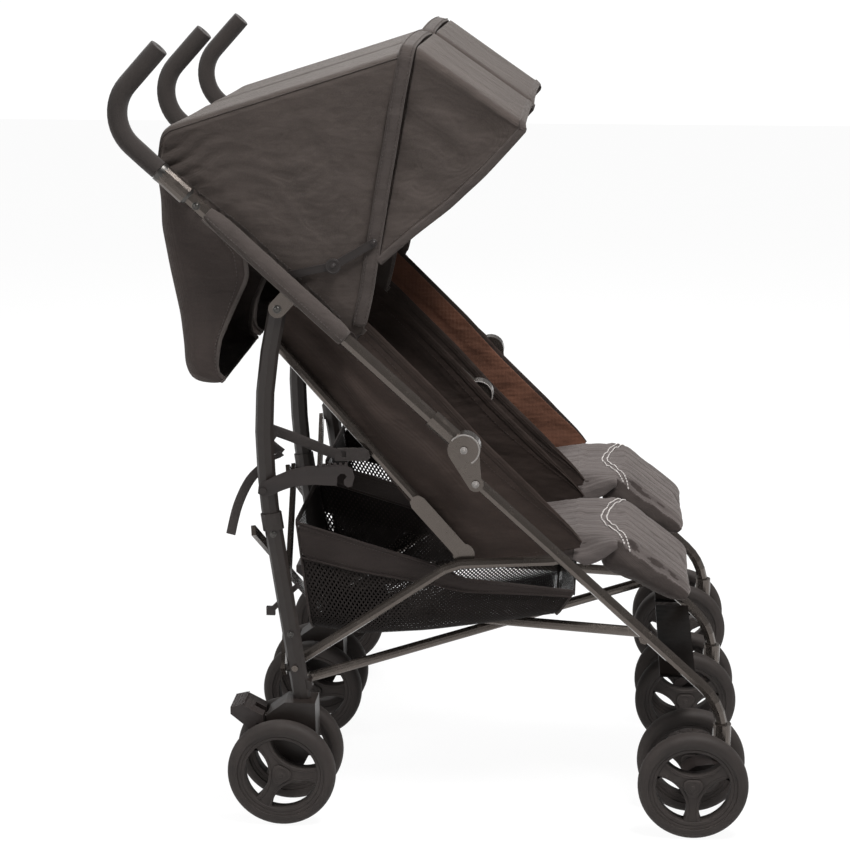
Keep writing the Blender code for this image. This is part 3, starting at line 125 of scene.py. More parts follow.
class Tree:
    """A node tree with short calls."""

    def __init__(self, tree):
        self.tree = tree

    def add(self, kind, **values):
        made = self.tree.nodes.new(kind)
        for key, value in values.items():
            setattr(made, key, value)
        return made

    def put(self, value, socket):
        if isinstance(value, bpy.types.NodeSocket):
            self.tree.links.new(value, socket)
        else:
            socket.default_value = value

    def math(self, operation, first, second=0.0):
        made = self.add("ShaderNodeMath", operation=operation)
        self.put(first, made.inputs[0])
        self.put(second, made.inputs[1])
        return made.outputs[0]

    def spread(self, value, low, high, to_low=0.0, to_high=1.0):
        made = self.add("ShaderNodeMapRange")
        self.put(value, made.inputs["Value"])
        for socket, number in zip(("From Min", "From Max", "To Min", "To Max"), (low, high, to_low, to_high)):
            made.inputs[socket].default_value = number
        return made.outputs["Result"]


class Nodes(Tree):
    """A material with its main shader."""

    def __init__(self, name, roughness=0.5, metallic=0.0):
        self.material = bpy.data.materials.new(name)
        self.material.use_nodes = True
        super().__init__(self.material.node_tree)
        self.shader = self.tree.nodes["Principled BSDF"]
        self.set("Roughness", roughness)
        self.set("Metallic", metallic)
        self.place = self.add("ShaderNodeTexCoord").outputs["Object"]

    def set(self, socket, value):
        self.shader.inputs[socket].default_value = value

    def noise(self, scale, detail=3.0, roughness=0.5, place=None):
        made = self.add("ShaderNodeTexNoise")
        self.put(place or self.place, made.inputs["Vector"])
        made.inputs["Scale"].default_value = scale
        made.inputs["Detail"].default_value = detail
        made.inputs["Roughness"].default_value = roughness
        return made.outputs["Fac"]

    def cells(self, scale):
        made = self.add("ShaderNodeTexVoronoi")
        self.put(self.place, made.inputs["Vector"])
        made.inputs["Scale"].default_value = scale
        return made.outputs["Distance"]

    def bands(self, direction, period):
        made = self.add("ShaderNodeTexWave", bands_direction=direction)
        self.put(self.place, made.inputs["Vector"])
        made.inputs["Scale"].default_value = math.pi / 10 / period
        made.inputs["Distortion"].default_value = 0.6
        made.inputs["Detail Scale"].default_value = 2.0
        return made.outputs["Fac"]

    def mix(self, share, first, second):
        made = self.add("ShaderNodeMix", data_type="RGBA")
        self.put(share, made.inputs["Factor"])
        self.put(first if not isinstance(first, tuple) else (*first, 1.0), made.inputs["A"])
        self.put(second if not isinstance(second, tuple) else (*second, 1.0), made.inputs["B"])
        return made.outputs["Result"]

    def colour(self, value):
        self.put(value, self.shader.inputs["Base Color"])

    def tones(self, share, colour, dark, light):
        """A mix of the colour's darker and lighter shades."""
        return self.mix(share, shade(colour, dark), shade(colour, light))

    def rough(self, share, low, high):
        """Varies the roughness between two values."""
        self.put(self.spread(share, 0.3, 0.7, low, high), self.shader.inputs["Roughness"])

    def bump(self, height, distance, strength=1.0):
        made = self.add("ShaderNodeBump")
        made.inputs["Distance"].default_value = distance
        made.inputs["Strength"].default_value = strength
        self.put(height, made.inputs["Height"])
        old = self.shader.inputs["Normal"]
        if old.is_linked:
            self.put(old.links[0].from_socket, made.inputs["Normal"])
        self.put(made.outputs["Normal"], old)


def shade(colour, factor):
    return tuple(part * factor for part in colour)


def cloth_material(name, colour, period=0.0012, sheen=0.14, mottle=0.35, roughness=0.88, rib=None):
    """A plain weave with yarn unevenness, soft mottling and a little sheen."""
    made = Nodes(name, roughness)
    made.set("Sheen Weight", sheen)
    made.set("Sheen Roughness", 0.45)
    made.set("Sheen Tint", (0.75, 0.70, 0.66, 1.0))
    made.set("Specular IOR Level", 0.28)
    weave = made.math("ADD", made.bands("X", period), made.bands("Z", period))
    weave = made.math("ADD", weave, made.bands("Y", period))
    yarn = made.noise(620.0, 2.0)
    broad = made.noise(14.0, 4.0, 0.55)
    patch = made.noise(3.2, 2.0)
    tone = made.tones(made.spread(broad, 0.3, 0.7), colour, 1 - mottle / 2, 1 + mottle / 2)
    tone = made.mix(made.spread(patch, 0.35, 0.65, 0.0, 0.5), tone, shade(colour, 0.82))
    tone = made.mix(made.spread(weave, 0.6, 2.4, 0.0, 0.35), tone, shade(colour, 0.55))
    tone = made.mix(made.spread(yarn, 0.35, 0.75, 0.0, 0.30), tone, shade(colour, 1.7))
    made.colour(tone)
    made.bump(weave, 0.00025, 0.8)
    made.bump(broad, 0.0012, 0.25)
    crease = made.add("ShaderNodeMapping")
    crease.inputs["Rotation"].default_value = (0.0, math.radians(18), 0.0)
    crease.inputs["Scale"].default_value = (0.45, 1.0, 1.0)
    made.put(made.place, crease.inputs["Vector"])
    made.bump(made.noise(24.0, 3.0, 0.5, crease.outputs[0]), 0.016, 0.55)
    if rib:
        made.bump(made.bands("Y", rib), 0.0007, 0.7)
    return made.material


def paint_material(name, colour, worn, roughness=0.36, metallic=0.55):
    """Satin paint on steel, with a fine orange-peel surface and scuffs where paler worn metal shows."""
    made = Nodes(name, roughness, metallic)
    made.set("Coat Weight", 0.12)
    made.set("Coat Roughness", 0.25)
    scuffs = made.noise(150.0, 6.0, 0.7)
    tone = made.tones(made.noise(9.0, 3.0), colour, 0.88, 1.12)
    made.colour(made.mix(made.spread(scuffs, 0.62, 0.80, 0.0, 0.45), tone, worn))
    made.rough(made.noise(45.0, 5.0, 0.65), roughness - 0.07, roughness + 0.10)
    made.bump(made.noise(700.0, 2.0), 0.00012, 0.5)
    return made.material


def plastic_material(name, colour, roughness=0.5, grain=0.0002, specular=0.4):
    """Moulded plastic with a fine spark-eroded grain and handled, paler edges."""
    made = Nodes(name, roughness)
    made.set("Specular IOR Level", specular)
    edges = made.add("ShaderNodeNewGeometry").outputs["Pointiness"]
    tone = made.tones(made.noise(22.0, 4.0), colour, 0.88, 1.14)
    made.colour(made.mix(made.spread(edges, 0.54, 0.66, 0.0, 0.55), tone, shade(colour, 2.2)))
    made.rough(made.noise(60.0, 4.0), roughness - 0.06, roughness + 0.09)
    made.bump(made.cells(1500.0), grain, 0.5)
    return made.material


def rubber_material(name, colour):
    made = Nodes(name, 0.72)
    made.set("Specular IOR Level", 0.32)
    dust = made.noise(18.0, 6.0, 0.65)
    fine = made.noise(900.0, 2.0)
    tone = made.tones(made.spread(dust, 0.35, 0.7), colour, 0.82, 1.35)
    made.colour(made.mix(made.spread(fine, 0.4, 0.8, 0.0, 0.25), tone, shade(colour, 1.9)))
    made.bump(fine, 0.00015, 0.6)
    return made.material


def foam_material(name, colour):
    made = Nodes(name, 0.93)
    made.set("Specular IOR Level", 0.2)
    made.set("Sheen Weight", 0.15)
    pores = made.cells(520.0)
    tone = made.tones(made.noise(30.0, 4.0), colour, 0.85, 1.2)
    # Pore centres are darkened: painted shade in the pores.
    made.colour(made.mix(made.spread(pores, 0.0, 0.5, 0.35, 0.0), tone, shade(colour, 0.4)))
    made.bump(pores, 0.0004, 0.6)
    made.bump(made.noise(60.0, 3.0), 0.0006, 0.3)
    return made.material


def net_material(name, colour, pitch, hole):
    """A knitted net: round-cornered diamond holes between soft yarns, laid out in the cloth's own plane."""
    made = Nodes(name, 0.85)
    made.set("Specular IOR Level", 0.25)
    flat = made.add("ShaderNodeSeparateXYZ")
    made.put(made.add("ShaderNodeTexCoord").outputs["UV"], flat.inputs[0])
    lines = []
    for operation in ("ADD", "SUBTRACT"):
        slant = made.math(operation, flat.outputs["X"], flat.outputs["Y"])
        turn = made.math("MULTIPLY", slant, 2 * math.pi / pitch)
        lines.append(made.math("COSINE", turn))
    yarn = made.math("MAXIMUM", *lines)
    solid = made.spread(yarn, hole - 0.12, hole + 0.12)
    made.colour(made.tones(made.noise(25.0, 4.0), colour, 0.7, 1.5))
    made.put(solid, made.shader.inputs["Alpha"])
    made.bump(yarn, 0.0006, 0.8)
    return made.material


def metal_material(name, colour, roughness):
    made = Nodes(name, roughness, 0.9)
    scratch = made.noise(240.0, 5.0, 0.7)
    made.colour(made.mix(made.spread(scratch, 0.35, 0.7), shade(colour, 0.7), colour))
    made.rough(scratch, roughness - 0.08, roughness + 0.12)
    made.bump(scratch, 0.00008, 0.4)
    return made.material


HOOD_CLOTH = cloth_material("hood_cloth", (0.050, 0.039, 0.034))
# The visor's cloth is the hood's cloth painted about half again lighter: painted light from above on its
# walls.
LIT_VISOR_CLOTH = cloth_material("visor_cloth_painted_light", (0.074, 0.060, 0.053))
FLAP_CLOTH = cloth_material("flap_cloth", (0.036, 0.027, 0.024))
TRIM_CLOTH = cloth_material("trim_cloth", (0.050, 0.040, 0.036), 0.0010, 0.15)
PIPING = cloth_material("piping_cloth", (0.064, 0.053, 0.048), 0.0008, 0.2)
PANEL_CLOTH = cloth_material("panel_cloth", (0.026, 0.0165, 0.013), 0.0014, 0.12)
# The mesh lining: partly the mesh's own brown, partly painted light shining through it from behind, which
# makes it much brighter.
BACKLIT_LINING = cloth_material("mesh_lining_painted_backlight", (0.118, 0.050, 0.030), 0.0022, 0.15, 0.8)
SEAT_CLOTH = cloth_material("seat_cloth", (0.084, 0.070, 0.066), 0.0012, 0.2, 0.4, 0.85, 0.006)
WEBBING = cloth_material("webbing", (0.036, 0.030, 0.028), 0.0016, 0.2, 0.3, 0.75)
BAND_CLOTH = cloth_material("band_cloth", (0.027, 0.020, 0.018), 0.0012, 0.1)
THREAD = cloth_material("thread", (0.66, 0.62, 0.60), 0.0006, 0.2, 0.2)
# The pads' sides and undersides: the seat cloth painted about half as dark, as painted shade.
SHADED_PAD_CLOTH = cloth_material("pad_cloth_painted_shade", (0.040, 0.031, 0.028), 0.0012, 0.1, 0.4)
DARK_THREAD = cloth_material("dark_thread", (0.022, 0.018, 0.017), 0.0006, 0.1, 0.2)
NET = net_material("basket_net", (0.012, 0.009, 0.008), 0.0058, 0.05)
PAINT = paint_material("painted_tube_black", (0.105, 0.089, 0.078), (0.26, 0.24, 0.22), 0.22, 0.8)
LEG_PAINT = paint_material("rear_leg_paint", (0.015, 0.010, 0.008), (0.07, 0.06, 0.055), 0.5, 0.2)
PLASTIC = plastic_material("black_plastic", (0.014, 0.010, 0.009))
GLOSS = plastic_material("gloss_plastic", (0.003, 0.0022, 0.0018), 0.35, 0.00005, 0.03)
WHEEL_PLASTIC = plastic_material("wheel_plastic", (0.020, 0.015, 0.013), 0.42)
TYRE = rubber_material("tyre_rubber", (0.024, 0.019, 0.017))
FOAM = foam_material("grip_foam", (0.028, 0.023, 0.021))
FOAM_END = foam_material("grip_foam_end", (0.30, 0.28, 0.26))
# A pale plastic for rims: painted highlight along edges that catch the light.
EDGE_HIGHLIGHT = plastic_material("painted_edge_highlight", (0.20, 0.185, 0.175), 0.35)
DARK_STEEL = metal_material("dark_steel", (0.10, 0.095, 0.09), 0.30)

# Mesh helpers


def smooth_faces(mesh, angle=40):
    mesh.shade_smooth()
    mesh.set_sharp_from_angle(angle=math.radians(angle))


def new_object(name, mesh, *surfaces):
    made = bpy.data.objects.new(name, mesh)
    bpy.context.scene.collection.objects.link(made)
    if surfaces:
        mesh.materials.clear()
        for surface in surfaces:
            mesh.materials.append(surface)
    return made


def applied(piece):
    """The piece with its modifiers applied."""
    bpy.context.view_layer.update()
    evaluated = piece.evaluated_get(bpy.context.evaluated_depsgraph_get())
    mesh = bpy.data.meshes.new_from_object(evaluated)
    piece.modifiers.clear()
    piece.data = mesh
    return piece


def modified(piece, *steps):
    """Adds (kind, settings) modifiers and applies them."""
    for kind, settings in steps:
        step = piece.modifiers.new(kind.lower(), kind)
        for key, value in settings.items():
            setattr(step, key, value)
    return applied(piece)


def loft(name, rows, surface, closed=False, thickness=0.0, levels=1, ends=False):
    """A surface through rows of points, with its flat lengths as UVs."""
    mesh = bpy.data.meshes.new(name)
    count = len(rows[0])
    corners = [tuple(point) for row in rows for point in row]
    faces = []
    for r in range(len(rows) - 1):
        for c in range(count if closed else count - 1):
            d = (c + 1) % count
            faces.append((r * count + c, r * count + d, (r + 1) * count + d, (r + 1) * count + c))
    if ends:
        faces.append(tuple(range(count - 1, -1, -1)))
        faces.append(tuple((len(rows) - 1) * count + c for c in range(count)))
    mesh.from_pydata(corners, [], faces)
    across = [0.0]
    for c in range(1, count):
        across.append(across[-1] + (rows[len(rows) // 2][c] - rows[len(rows) // 2][c - 1]).length)
    down = [0.0]
    for r in range(1, len(rows)):
        down.append(down[-1] + (rows[r][count // 2] - rows[r - 1][count // 2]).length)
    layer = mesh.uv_layers.new(name="flat")
    for loop in mesh.loops:
        r, c = divmod(loop.vertex_index, count)
        layer.data[loop.index].uv = (across[c], down[r])
    made = new_object(name, mesh, surface)
    steps = []
    if thickness:
        steps.append(("SOLIDIFY", {"thickness": thickness, "offset": 0.0, "use_even_offset": False}))
    if levels:
        steps.append(("SUBSURF", {"levels": levels, "render_levels": levels}))
    modified(made, *steps)
    made.data.shade_smooth()
    return made


def frames_along(points, up):
    """The direction and two square axes at each of the path's points."""
    made = []
    for i in range(len(points)):
        before = points[max(i - 1, 0)]
        after = points[min(i + 1, len(points) - 1)]
        forward = (after - before).normalized()
        side = up.cross(forward)
        if side.length < 1e-5:
            side = ACROSS.cross(forward)
        side.normalize()
        made.append((forward, side, forward.cross(side).normalized()))
    return made


def sweep(name, points, width, height, surface, up=Vector((0, 0, 1)), sides=10, square=1.0, taper=None):
    """A closed band or cord along a path: width lies square to up, and height lies along it."""
    rows = []
    for i, (point, (_, side, top)) in enumerate(zip(points, frames_along(points, up))):
        grow = taper[i] if taper else 1.0
        row = []
        for step in range(sides):
            turn = 2 * math.pi * (step + 0.5) / sides
            a = math.copysign(abs(math.cos(turn)) ** square, math.cos(turn))
            b = math.copysign(abs(math.sin(turn)) ** square, math.sin(turn))
            row.append(point + side * (a * width / 2 * grow) + top * (b * height / 2 * grow))
        rows.append(row)
    made = loft(name, rows, surface, closed=True, levels=0, ends=True)
    smooth_faces(made.data, 55)
    return made


def joined(name, pieces):
    """Several meshes as one piece."""
    shape = bmesh.new()
    surfaces = []
    for piece in pieces:
        mesh = piece.data
        mesh.transform(piece.matrix_world)
        slots = []
        for surface in mesh.materials:
            if surface not in surfaces:
                surfaces.append(surface)
            slots.append(surfaces.index(surface))
        first = len(shape.faces)
        shape.from_mesh(mesh)
        shape.faces.ensure_lookup_table()
        for face in shape.faces[first:]:
            face.material_index = slots[min(face.material_index, len(slots) - 1)]
    mesh = bpy.data.meshes.new(name)
    shape.to_mesh(mesh)
    shape.free()
    for piece in pieces:
        bpy.data.objects.remove(piece, do_unlink=True)
    return new_object(name, mesh, *surfaces)


def path(points, step=0.012):
    """Points at an even step on a smooth curve through the given ones."""
    made = []
    for i in range(len(points) - 1):
        p0 = points[max(i - 1, 0)]
        p1 = points[i]
        p2 = points[i + 1]
        p3 = points[min(i + 2, len(points) - 1)]
        parts = max(1, round((p2 - p1).length / step))
        for part in range(parts):
            t = part / parts
            bend = (2 * p0 - 5 * p1 + 4 * p2 - p3) * t * t
            made.append(0.5 * (2 * p1 + (p2 - p0) * t + bend + (3 * p1 - p0 - 3 * p2 + p3) * t**3))
    made.append(points[-1].copy())
    return made


def lathe(name, profile, place, axis, surface, steps=32, ends=True):
    """A (radius, height) profile turned about an axis."""
    turn = Vector(axis).to_track_quat("Z", "Y").to_matrix()
    rows = []
    for radius, height in profile:
        row = []
        for step in range(steps):
            angle = 2 * math.pi * step / steps
            row.append(place + turn @ Vector((radius * math.cos(angle), radius * math.sin(angle), height)))
        rows.append(row)
    made = loft(name, rows, surface, closed=True, levels=0, ends=ends)
    smooth_faces(made.data, 40)
    return made


def rivet(place, axis, radius, rise):
    """A domed rivet in a sunk ring."""
    rim = radius * 1.45
    profile = [(rim, -0.0004), (rim, rise * 0.35), (rim * 0.93, rise * 0.5), (radius * 1.05, rise * 0.5)]
    profile += [(radius, rise * 0.2)]
    for step in range(1, 6):
        angle = step * math.pi / 12
        profile.append((radius * math.cos(angle), rise * 0.2 + rise * math.sin(angle)))
    profile.append((radius * 0.1, rise * 1.2))
    return lathe("rivet", profile, place, axis, DARK_STEEL, 20)


def stitches(points, radius=0.0007, pitch=0.0048, share=0.78, surface=None):
    """A row of stitches along a path."""
    far = 0.0
    line = path(points, pitch / 3)
    lengths = [0.0]
    for a, b in zip(line, line[1:]):
        lengths.append(lengths[-1] + (b - a).length)
    shape = bmesh.new()
    index = 0

    def spot(distance):
        nonlocal index
        while index < len(lengths) - 2 and lengths[index + 1] < distance:
            index += 1
        span = max(lengths[index + 1] - lengths[index], 1e-9)
        return line[index].lerp(line[index + 1], min(max((distance - lengths[index]) / span, 0.0), 1.0))

    while far + pitch < lengths[-1]:
        start = spot(far)
        end = spot(far + pitch * share)
        middle = (start + end) / 2
        forward = end - start
        turn = forward.to_track_quat("Z", "Y").to_matrix().to_4x4()
        size = Matrix.Diagonal((radius, radius, forward.length / 2, 1.0))
        bmesh.ops.create_uvsphere(
            shape, u_segments=6, v_segments=4, radius=1.0, matrix=Matrix.Translation(middle) @ turn @ size
        )
        far += pitch
    mesh = bpy.data.meshes.new("stitches")
    shape.to_mesh(mesh)
    shape.free()
    mesh.shade_smooth()
    return new_object("stitches", mesh, surface or THREAD)


def dark_seam(points):
    return stitches(points, 0.0006, 0.005, share=0.7, surface=DARK_THREAD)


def outline_plate(name, outline, y_low, y_high, surface, bevel=0.001, holes=()):
    """A plate with an (x, z) outline, holes and rounded edges, between two y planes."""
    curve = bpy.data.curves.new(name, "CURVE")
    curve.dimensions = "2D"
    curve.fill_mode = "BOTH"
    curve.extrude = abs(y_high - y_low) / 2 - bevel
    curve.bevel_depth = bevel
    curve.bevel_resolution = 2
    curve.offset = -bevel
    for ring in (outline, *holes):
        line = curve.splines.new("POLY")
        line.points.add(len(ring) - 1)
        for point, (x, z) in zip(line.points, ring):
            point.co = (x + SHIFT, z, 0.0, 1.0)
        line.use_cyclic_u = True
    made = bpy.data.objects.new(name, curve)
    bpy.context.scene.collection.objects.link(made)
    middle = Matrix.Translation((0, (y_low + y_high) / 2, 0))
    made.matrix_world = middle @ Matrix.Rotation(math.pi / 2, 4, "X")
    bpy.context.view_layer.update()
    mesh = bpy.data.meshes.new_from_object(made.evaluated_get(bpy.context.evaluated_depsgraph_get()))
    mesh.transform(made.matrix_world)
    bpy.data.objects.remove(made, do_unlink=True)
    shape = bmesh.new()
    shape.from_mesh(mesh)
    bmesh.ops.remove_doubles(shape, verts=shape.verts, dist=0.00001)
    bmesh.ops.recalc_face_normals(shape, faces=shape.faces)
    shape.to_mesh(mesh)
    shape.free()
    smooth_faces(mesh, 50)
    return new_object(name, mesh, surface)


def circle(centre, radius, steps=48):
    ring = []
    for step in range(steps):
        angle = 2 * math.pi * step / steps
        ring.append((centre[0] + radius * math.cos(angle), centre[1] + radius * math.sin(angle)))
    return ring


def bar_outline(start, end, width, steps=10):
    """A bar with round ends between two (x, z) pivots."""
    turn = math.atan2(end[1] - start[1], end[0] - start[0])
    ring = []
    for centre, first in ((start, turn + math.pi / 2), (end, turn - math.pi / 2)):
        for step in range(steps + 1):
            angle = first + step * math.pi / steps
            ring.append((centre[0] + width / 2 * math.cos(angle), centre[1] + width / 2 * math.sin(angle)))
    return ring


def between(line, share):
    """The point at a share of a polyline's length."""
    lengths = [0.0]
    for a, b in zip(line, line[1:]):
        lengths.append(lengths[-1] + math.hypot(b[0] - a[0], b[1] - a[1]))
    far = share * lengths[-1]
    for i in range(len(line) - 1):
        if far <= lengths[i + 1] or i == len(line) - 2:
            t = (far - lengths[i]) / max(lengths[i + 1] - lengths[i], 1e-9)
            return mixed(line[i], line[i + 1], t)
    return line[-1]


# Materials of the frame's own nodes

for name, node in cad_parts.items():
    if name.startswith("rear_leg"):
        surface = LEG_PAINT
    elif name.startswith(
        ("front_leg", "handle", "seat_rail", "backrest_tube", "lower_bar", "rear_bar", "recline")
    ):
        surface = PAINT
    else:
        surface = PLASTIC
    for place in node.material_slots:
        place.material = surface

# Hoods: one curved sheet each, with the bow's sleeve, seams, piping and hems

HOOD_LANE = 0.0152
HOOD_TOP = [
    (-0.4455, 0.898), (-0.4395, 0.936), (-0.4360, 0.9445), (-0.4260, 0.9525), (-0.345, 0.9785),
    (-0.227, 1.0155), (-0.1045, 1.0545),
]
HOOD_BOTTOM = [
    (-0.4455, 0.896), (-0.300, 0.7665), (-0.222, 0.6905), (-0.206, 0.6765), (-0.193, 0.6695),
    (-0.1810, 0.6705), (-0.1700, 0.684),
]
BOW_LINE = [
    (-0.1680, 0.686), (-0.1585, 0.724), (-0.1505, 0.775), (-0.1420, 0.826), (-0.1340, 0.877),
    (-0.1250, 0.927), (-0.1140, 0.993), (-0.1010, 1.0560),
]
VISOR_LOW = [(-0.1500, 0.776), (-0.1010, 0.8185), (-0.0610, 0.8495), (-0.0110, 0.8965), (0.0385, 0.9515)]
VISOR_TOP = [(-0.0990, 1.0565), (0.0385, 0.9615)]
HOOD_CORNER = 0.013
VISOR_CORNER = 0.011
HOOD_STATIONS = 56
VISOR_STATIONS = 26
WALL_STEPS = 30
SEAM_RISE = 0.027
VISOR_SEAM_RISE = 0.0125
BOW_LEAN = Vector((0.975, 0, -0.2))
BOW_SLEEVE = [
    (-0.020, 0.0002), (-0.0185, 0.0014), (-0.012, 0.0025), (-0.004, 0.0025), (0.0005, 0.0012),
    (0.0005, -0.0014), (-0.008, -0.0016), (-0.019, -0.0010),
]

# The sine, and one minus the cosine, of the four steps round a quarter turn
CORNER = [(math.sin(step * math.pi / 6), 1 - math.cos(step * math.pi / 6)) for step in range(4)]


def bent(share):
    """How far the front bow's curve stands off its own straight line, for a row that leans like it."""
    straight = mixed(BOW_LINE[0], BOW_LINE[-1], share)
    curve = between(BOW_LINE, share)
    return curve[0] - straight[0], curve[1] - straight[1]


def hood_section(low, high, outer, inner, corner, crown, wrinkle, bend=0.0):
    """One bow-shaped row of a hood, from its outer wall's foot over the top to its inner wall's foot."""
    tall = max(math.hypot(high[0] - low[0], high[1] - low[1]), 1e-6)
    corner = min(corner, tall * 0.7)
    sign = 1 if inner > outer else -1
    width = abs(inner - outer)
    points = []

    def put(share, across, rise=0.0):
        extra = bent(min(max(share, 0.0), 1.0))
        x, z = mixed(low, high, share)
        x += extra[0] * bend
        z += extra[1] * bend
        x += rise * (high[0] - low[0]) / tall
        z += rise * (high[1] - low[1]) / tall
        points.append(V(x, outer + sign * across, z))

    shoulder = 1 - corner / tall
    half = []
    for step in range(WALL_STEPS):
        share = shoulder * step / WALL_STEPS
        half.append((share, wrinkle(share, low, high)))
    half += [(shoulder + (1 - shoulder) * rise, corner * turn) for rise, turn in CORNER]
    for share, across in half:
        put(share, across)
    for step in range(1, 12):
        share = step / 12
        put(1.0, corner + (width - 2 * corner) * share, crown * math.sin(math.pi * share))
    for share, across in half[::-1]:
        put(share, width - across)
    return points


def hood_wrinkle(share, low, high):
    """How far a hood's wall sags inwards: a hollow, soft folds along it, and gathers near its foot."""
    x, z = mixed(low, high, share)
    tall = math.hypot(high[0] - low[0], high[1] - low[1])
    bell = math.sin(math.pi * min(max(share, 0.0), 1.0))
    hollow = 0.0030 * bell * min(tall / 0.15, 1.0)
    foot_line = (x - KNUCKLE[0]) * -math.cos(HANDLE_ANGLE) + (z - KNUCKLE[1]) * math.sin(HANDLE_ANGLE)
    foot = math.exp(-((share * tall) / 0.030) ** 2)
    gather = 0.0024 * foot * (1 + math.sin(foot_line * 300 + 3.0 * math.sin(foot_line * 55)))
    level = 0.953 * z - 0.302 * x
    wave = math.sin(level * 150 + 2.2 * math.sin(x * 21) + 1.1 * math.sin(x * 47 + z * 30))
    folds = 0.0042 * (1 - abs(wave) ** 0.7) * bell
    drift = 0.5 + 1.1 * noise.noise(Vector((x * 11, 0.0, z * 15)))
    pulls = 0.0030 * abs(noise.noise(Vector((x * 26 + z * 20, 5.0, z * 8 - x * 8)))) * bell
    return (hollow + gather + pulls + folds * max(0.25 + drift, 0.1)) * min(tall / 0.06, 1.0)


def visor_wrinkle(share, low, high):
    """A hollow and a few slack folds that run from the bow towards the tip."""
    x, z = mixed(low, high, share)
    tall = math.hypot(high[0] - low[0], high[1] - low[1])
    bell = math.sin(math.pi * min(max(share, 0.0), 1.0))
    pulls = 0.0050 * abs(noise.noise(Vector((x * 24 + z * 9, 3.7, z * 30 - x * 9))))
    slack = pulls + 0.0016 * math.sin((z + 0.8 * x) * 95)
    return (0.0045 * bell + slack * bell + 0.002 * bell) * min(tall / 0.10, 1.0)


def hood_rows(outer, inner):
    rows = []
    for step in range(HOOD_STATIONS + 1):
        share = (step / HOOD_STATIONS) ** 1.15
        sag = -0.0035 * math.sin(math.pi * share)
        rows.append(hood_section(
            between(HOOD_BOTTOM, share), between(HOOD_TOP, share), outer, inner,
            HOOD_CORNER, 0.004 * share + sag, hood_wrinkle, share**4,
        ))
    return rows


def visor_rows(outer, inner):
    rows = []
    for step in range(VISOR_STATIONS + 1):
        share = step / VISOR_STATIONS
        dip = -0.003 * math.exp(-((share / 0.04) ** 2))
        crown = 0.003 - 0.005 * math.sin(math.pi * share) + dip
        rows.append(hood_section(
            between(VISOR_LOW, share), between(VISOR_TOP, share), outer, inner,
            VISOR_CORNER, crown, visor_wrinkle,
        ))
    return rows


def up_row(row, distance, inner_side=False):
    """The point at a distance up a row's wall from its foot."""
    line = row[::-1] if inner_side else row
    far = 0.0
    for a, b in zip(line, line[1:]):
        step = (b - a).length
        if far + step >= distance:
            return a.lerp(b, (distance - far) / step)
        far += step
    return line[-1]


for side, (frame_y, sign) in BAYS.items():
    outer = frame_y + sign * HOOD_LANE
    inner = -sign * HOOD_LANE
    main = loft("hood_main", hood_rows(outer, inner), HOOD_CLOTH, thickness=CLOTH)
    # The visor is drawn in the hood's cloth painted lighter, as painted light from above.
    visor = loft("visor", visor_rows(outer, inner), LIT_VISOR_CLOTH, thickness=CLOTH)
    hood = joined(f"hood_cover_{side}", [main, visor])
    hood.data.shade_smooth()
    centre = V(-0.16, (outer + inner) / 2, 0.85)
    trim = []
    bow = hood_section(
        BOW_LINE[0], BOW_LINE[-1], outer, inner, HOOD_CORNER, 0.004, lambda share, low, high: 0.0004, 1.0
    )
    sleeve_line = path(bow[::2] + [bow[-1]], 0.012)
    outwards = []
    for point, (_, across, _) in zip(sleeve_line, frames_along(sleeve_line, BOW_LEAN)):
        outwards.append(across if across.dot(point - centre) > 0 else -across)
    flat_sleeve = []
    for point, out in zip(sleeve_line, outwards):
        ease = 1 + 0.35 * noise.noise(point * 45)
        row = []
        for reach, rise in BOW_SLEEVE:
            row.append(point + BOW_LEAN * reach + out * (rise * ease))
        flat_sleeve.append(row)
    trim.append(loft("bow_sleeve", flat_sleeve, TRIM_CLOTH, closed=True, ends=True))
    for offset in (-0.0165, -0.0030):
        seam = [point + BOW_LEAN * offset + out * 0.0024 for point, out in zip(sleeve_line, outwards)]
        trim.append(dark_seam(seam))
    rows = hood_rows(outer, inner)
    visor_set = visor_rows(outer, inner)
    tip = visor_set[-1]
    hem_line = path(
        [row[0] for row in visor_set[::3]] + tip[4:-4:4] + [row[-1] for row in visor_set[::-3]], 0.012
    )
    trim.append(sweep("visor_hem", hem_line, 0.0030, 0.0110, TRIM_CLOTH, Vector((-0.64, 0, 0.77)), 10, 0.6))
    for inner_side, face in ((False, -sign), (True, sign)):
        nudge = Vector((0, face * 0.0010, 0))
        seam = [up_row(row, SEAM_RISE, inner_side) + nudge for row in rows[8:-6]]
        trim.append(dark_seam(seam))
        fold = [up_row(row, SEAM_RISE - 0.0022, inner_side) + nudge * 0.3 for row in rows[8:-6]]
        trim.append(sweep("seam_fold", path(fold, 0.012), 0.0016, 0.0026, HOOD_CLOTH, sides=8))
        seam = [up_row(row, VISOR_SEAM_RISE, inner_side) + nudge for row in visor_set[1:-4]]
        trim.append(dark_seam(seam))
        foot = [up_row(row, 0.001, inner_side) for row in rows[5:]]
        trim.append(sweep("foot_hem", path(foot, 0.008), 0.0030, 0.0085, PIPING, HEM_UP, 10, 0.7))
    column = WALL_STEPS + 1
    for line in ([row[column] for row in rows[6:]], [row[-1 - column] for row in rows[6:]]):
        ridge = [point + (point - centre).normalized() * 0.0006 for point in line]
        trim.append(sweep("ridge_seam", path(ridge, 0.015), 0.0022, 0.0016, HOOD_CLOTH, sides=8))
    trim = joined(f"hood_trim_{side}", trim)
    for piece in (hood, trim):
        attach(piece, f"hood_{side}")
        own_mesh(piece)
    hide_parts(f"hood_{side}")

# Cloth sleeves that wrap the outer handles along the hoods' feet


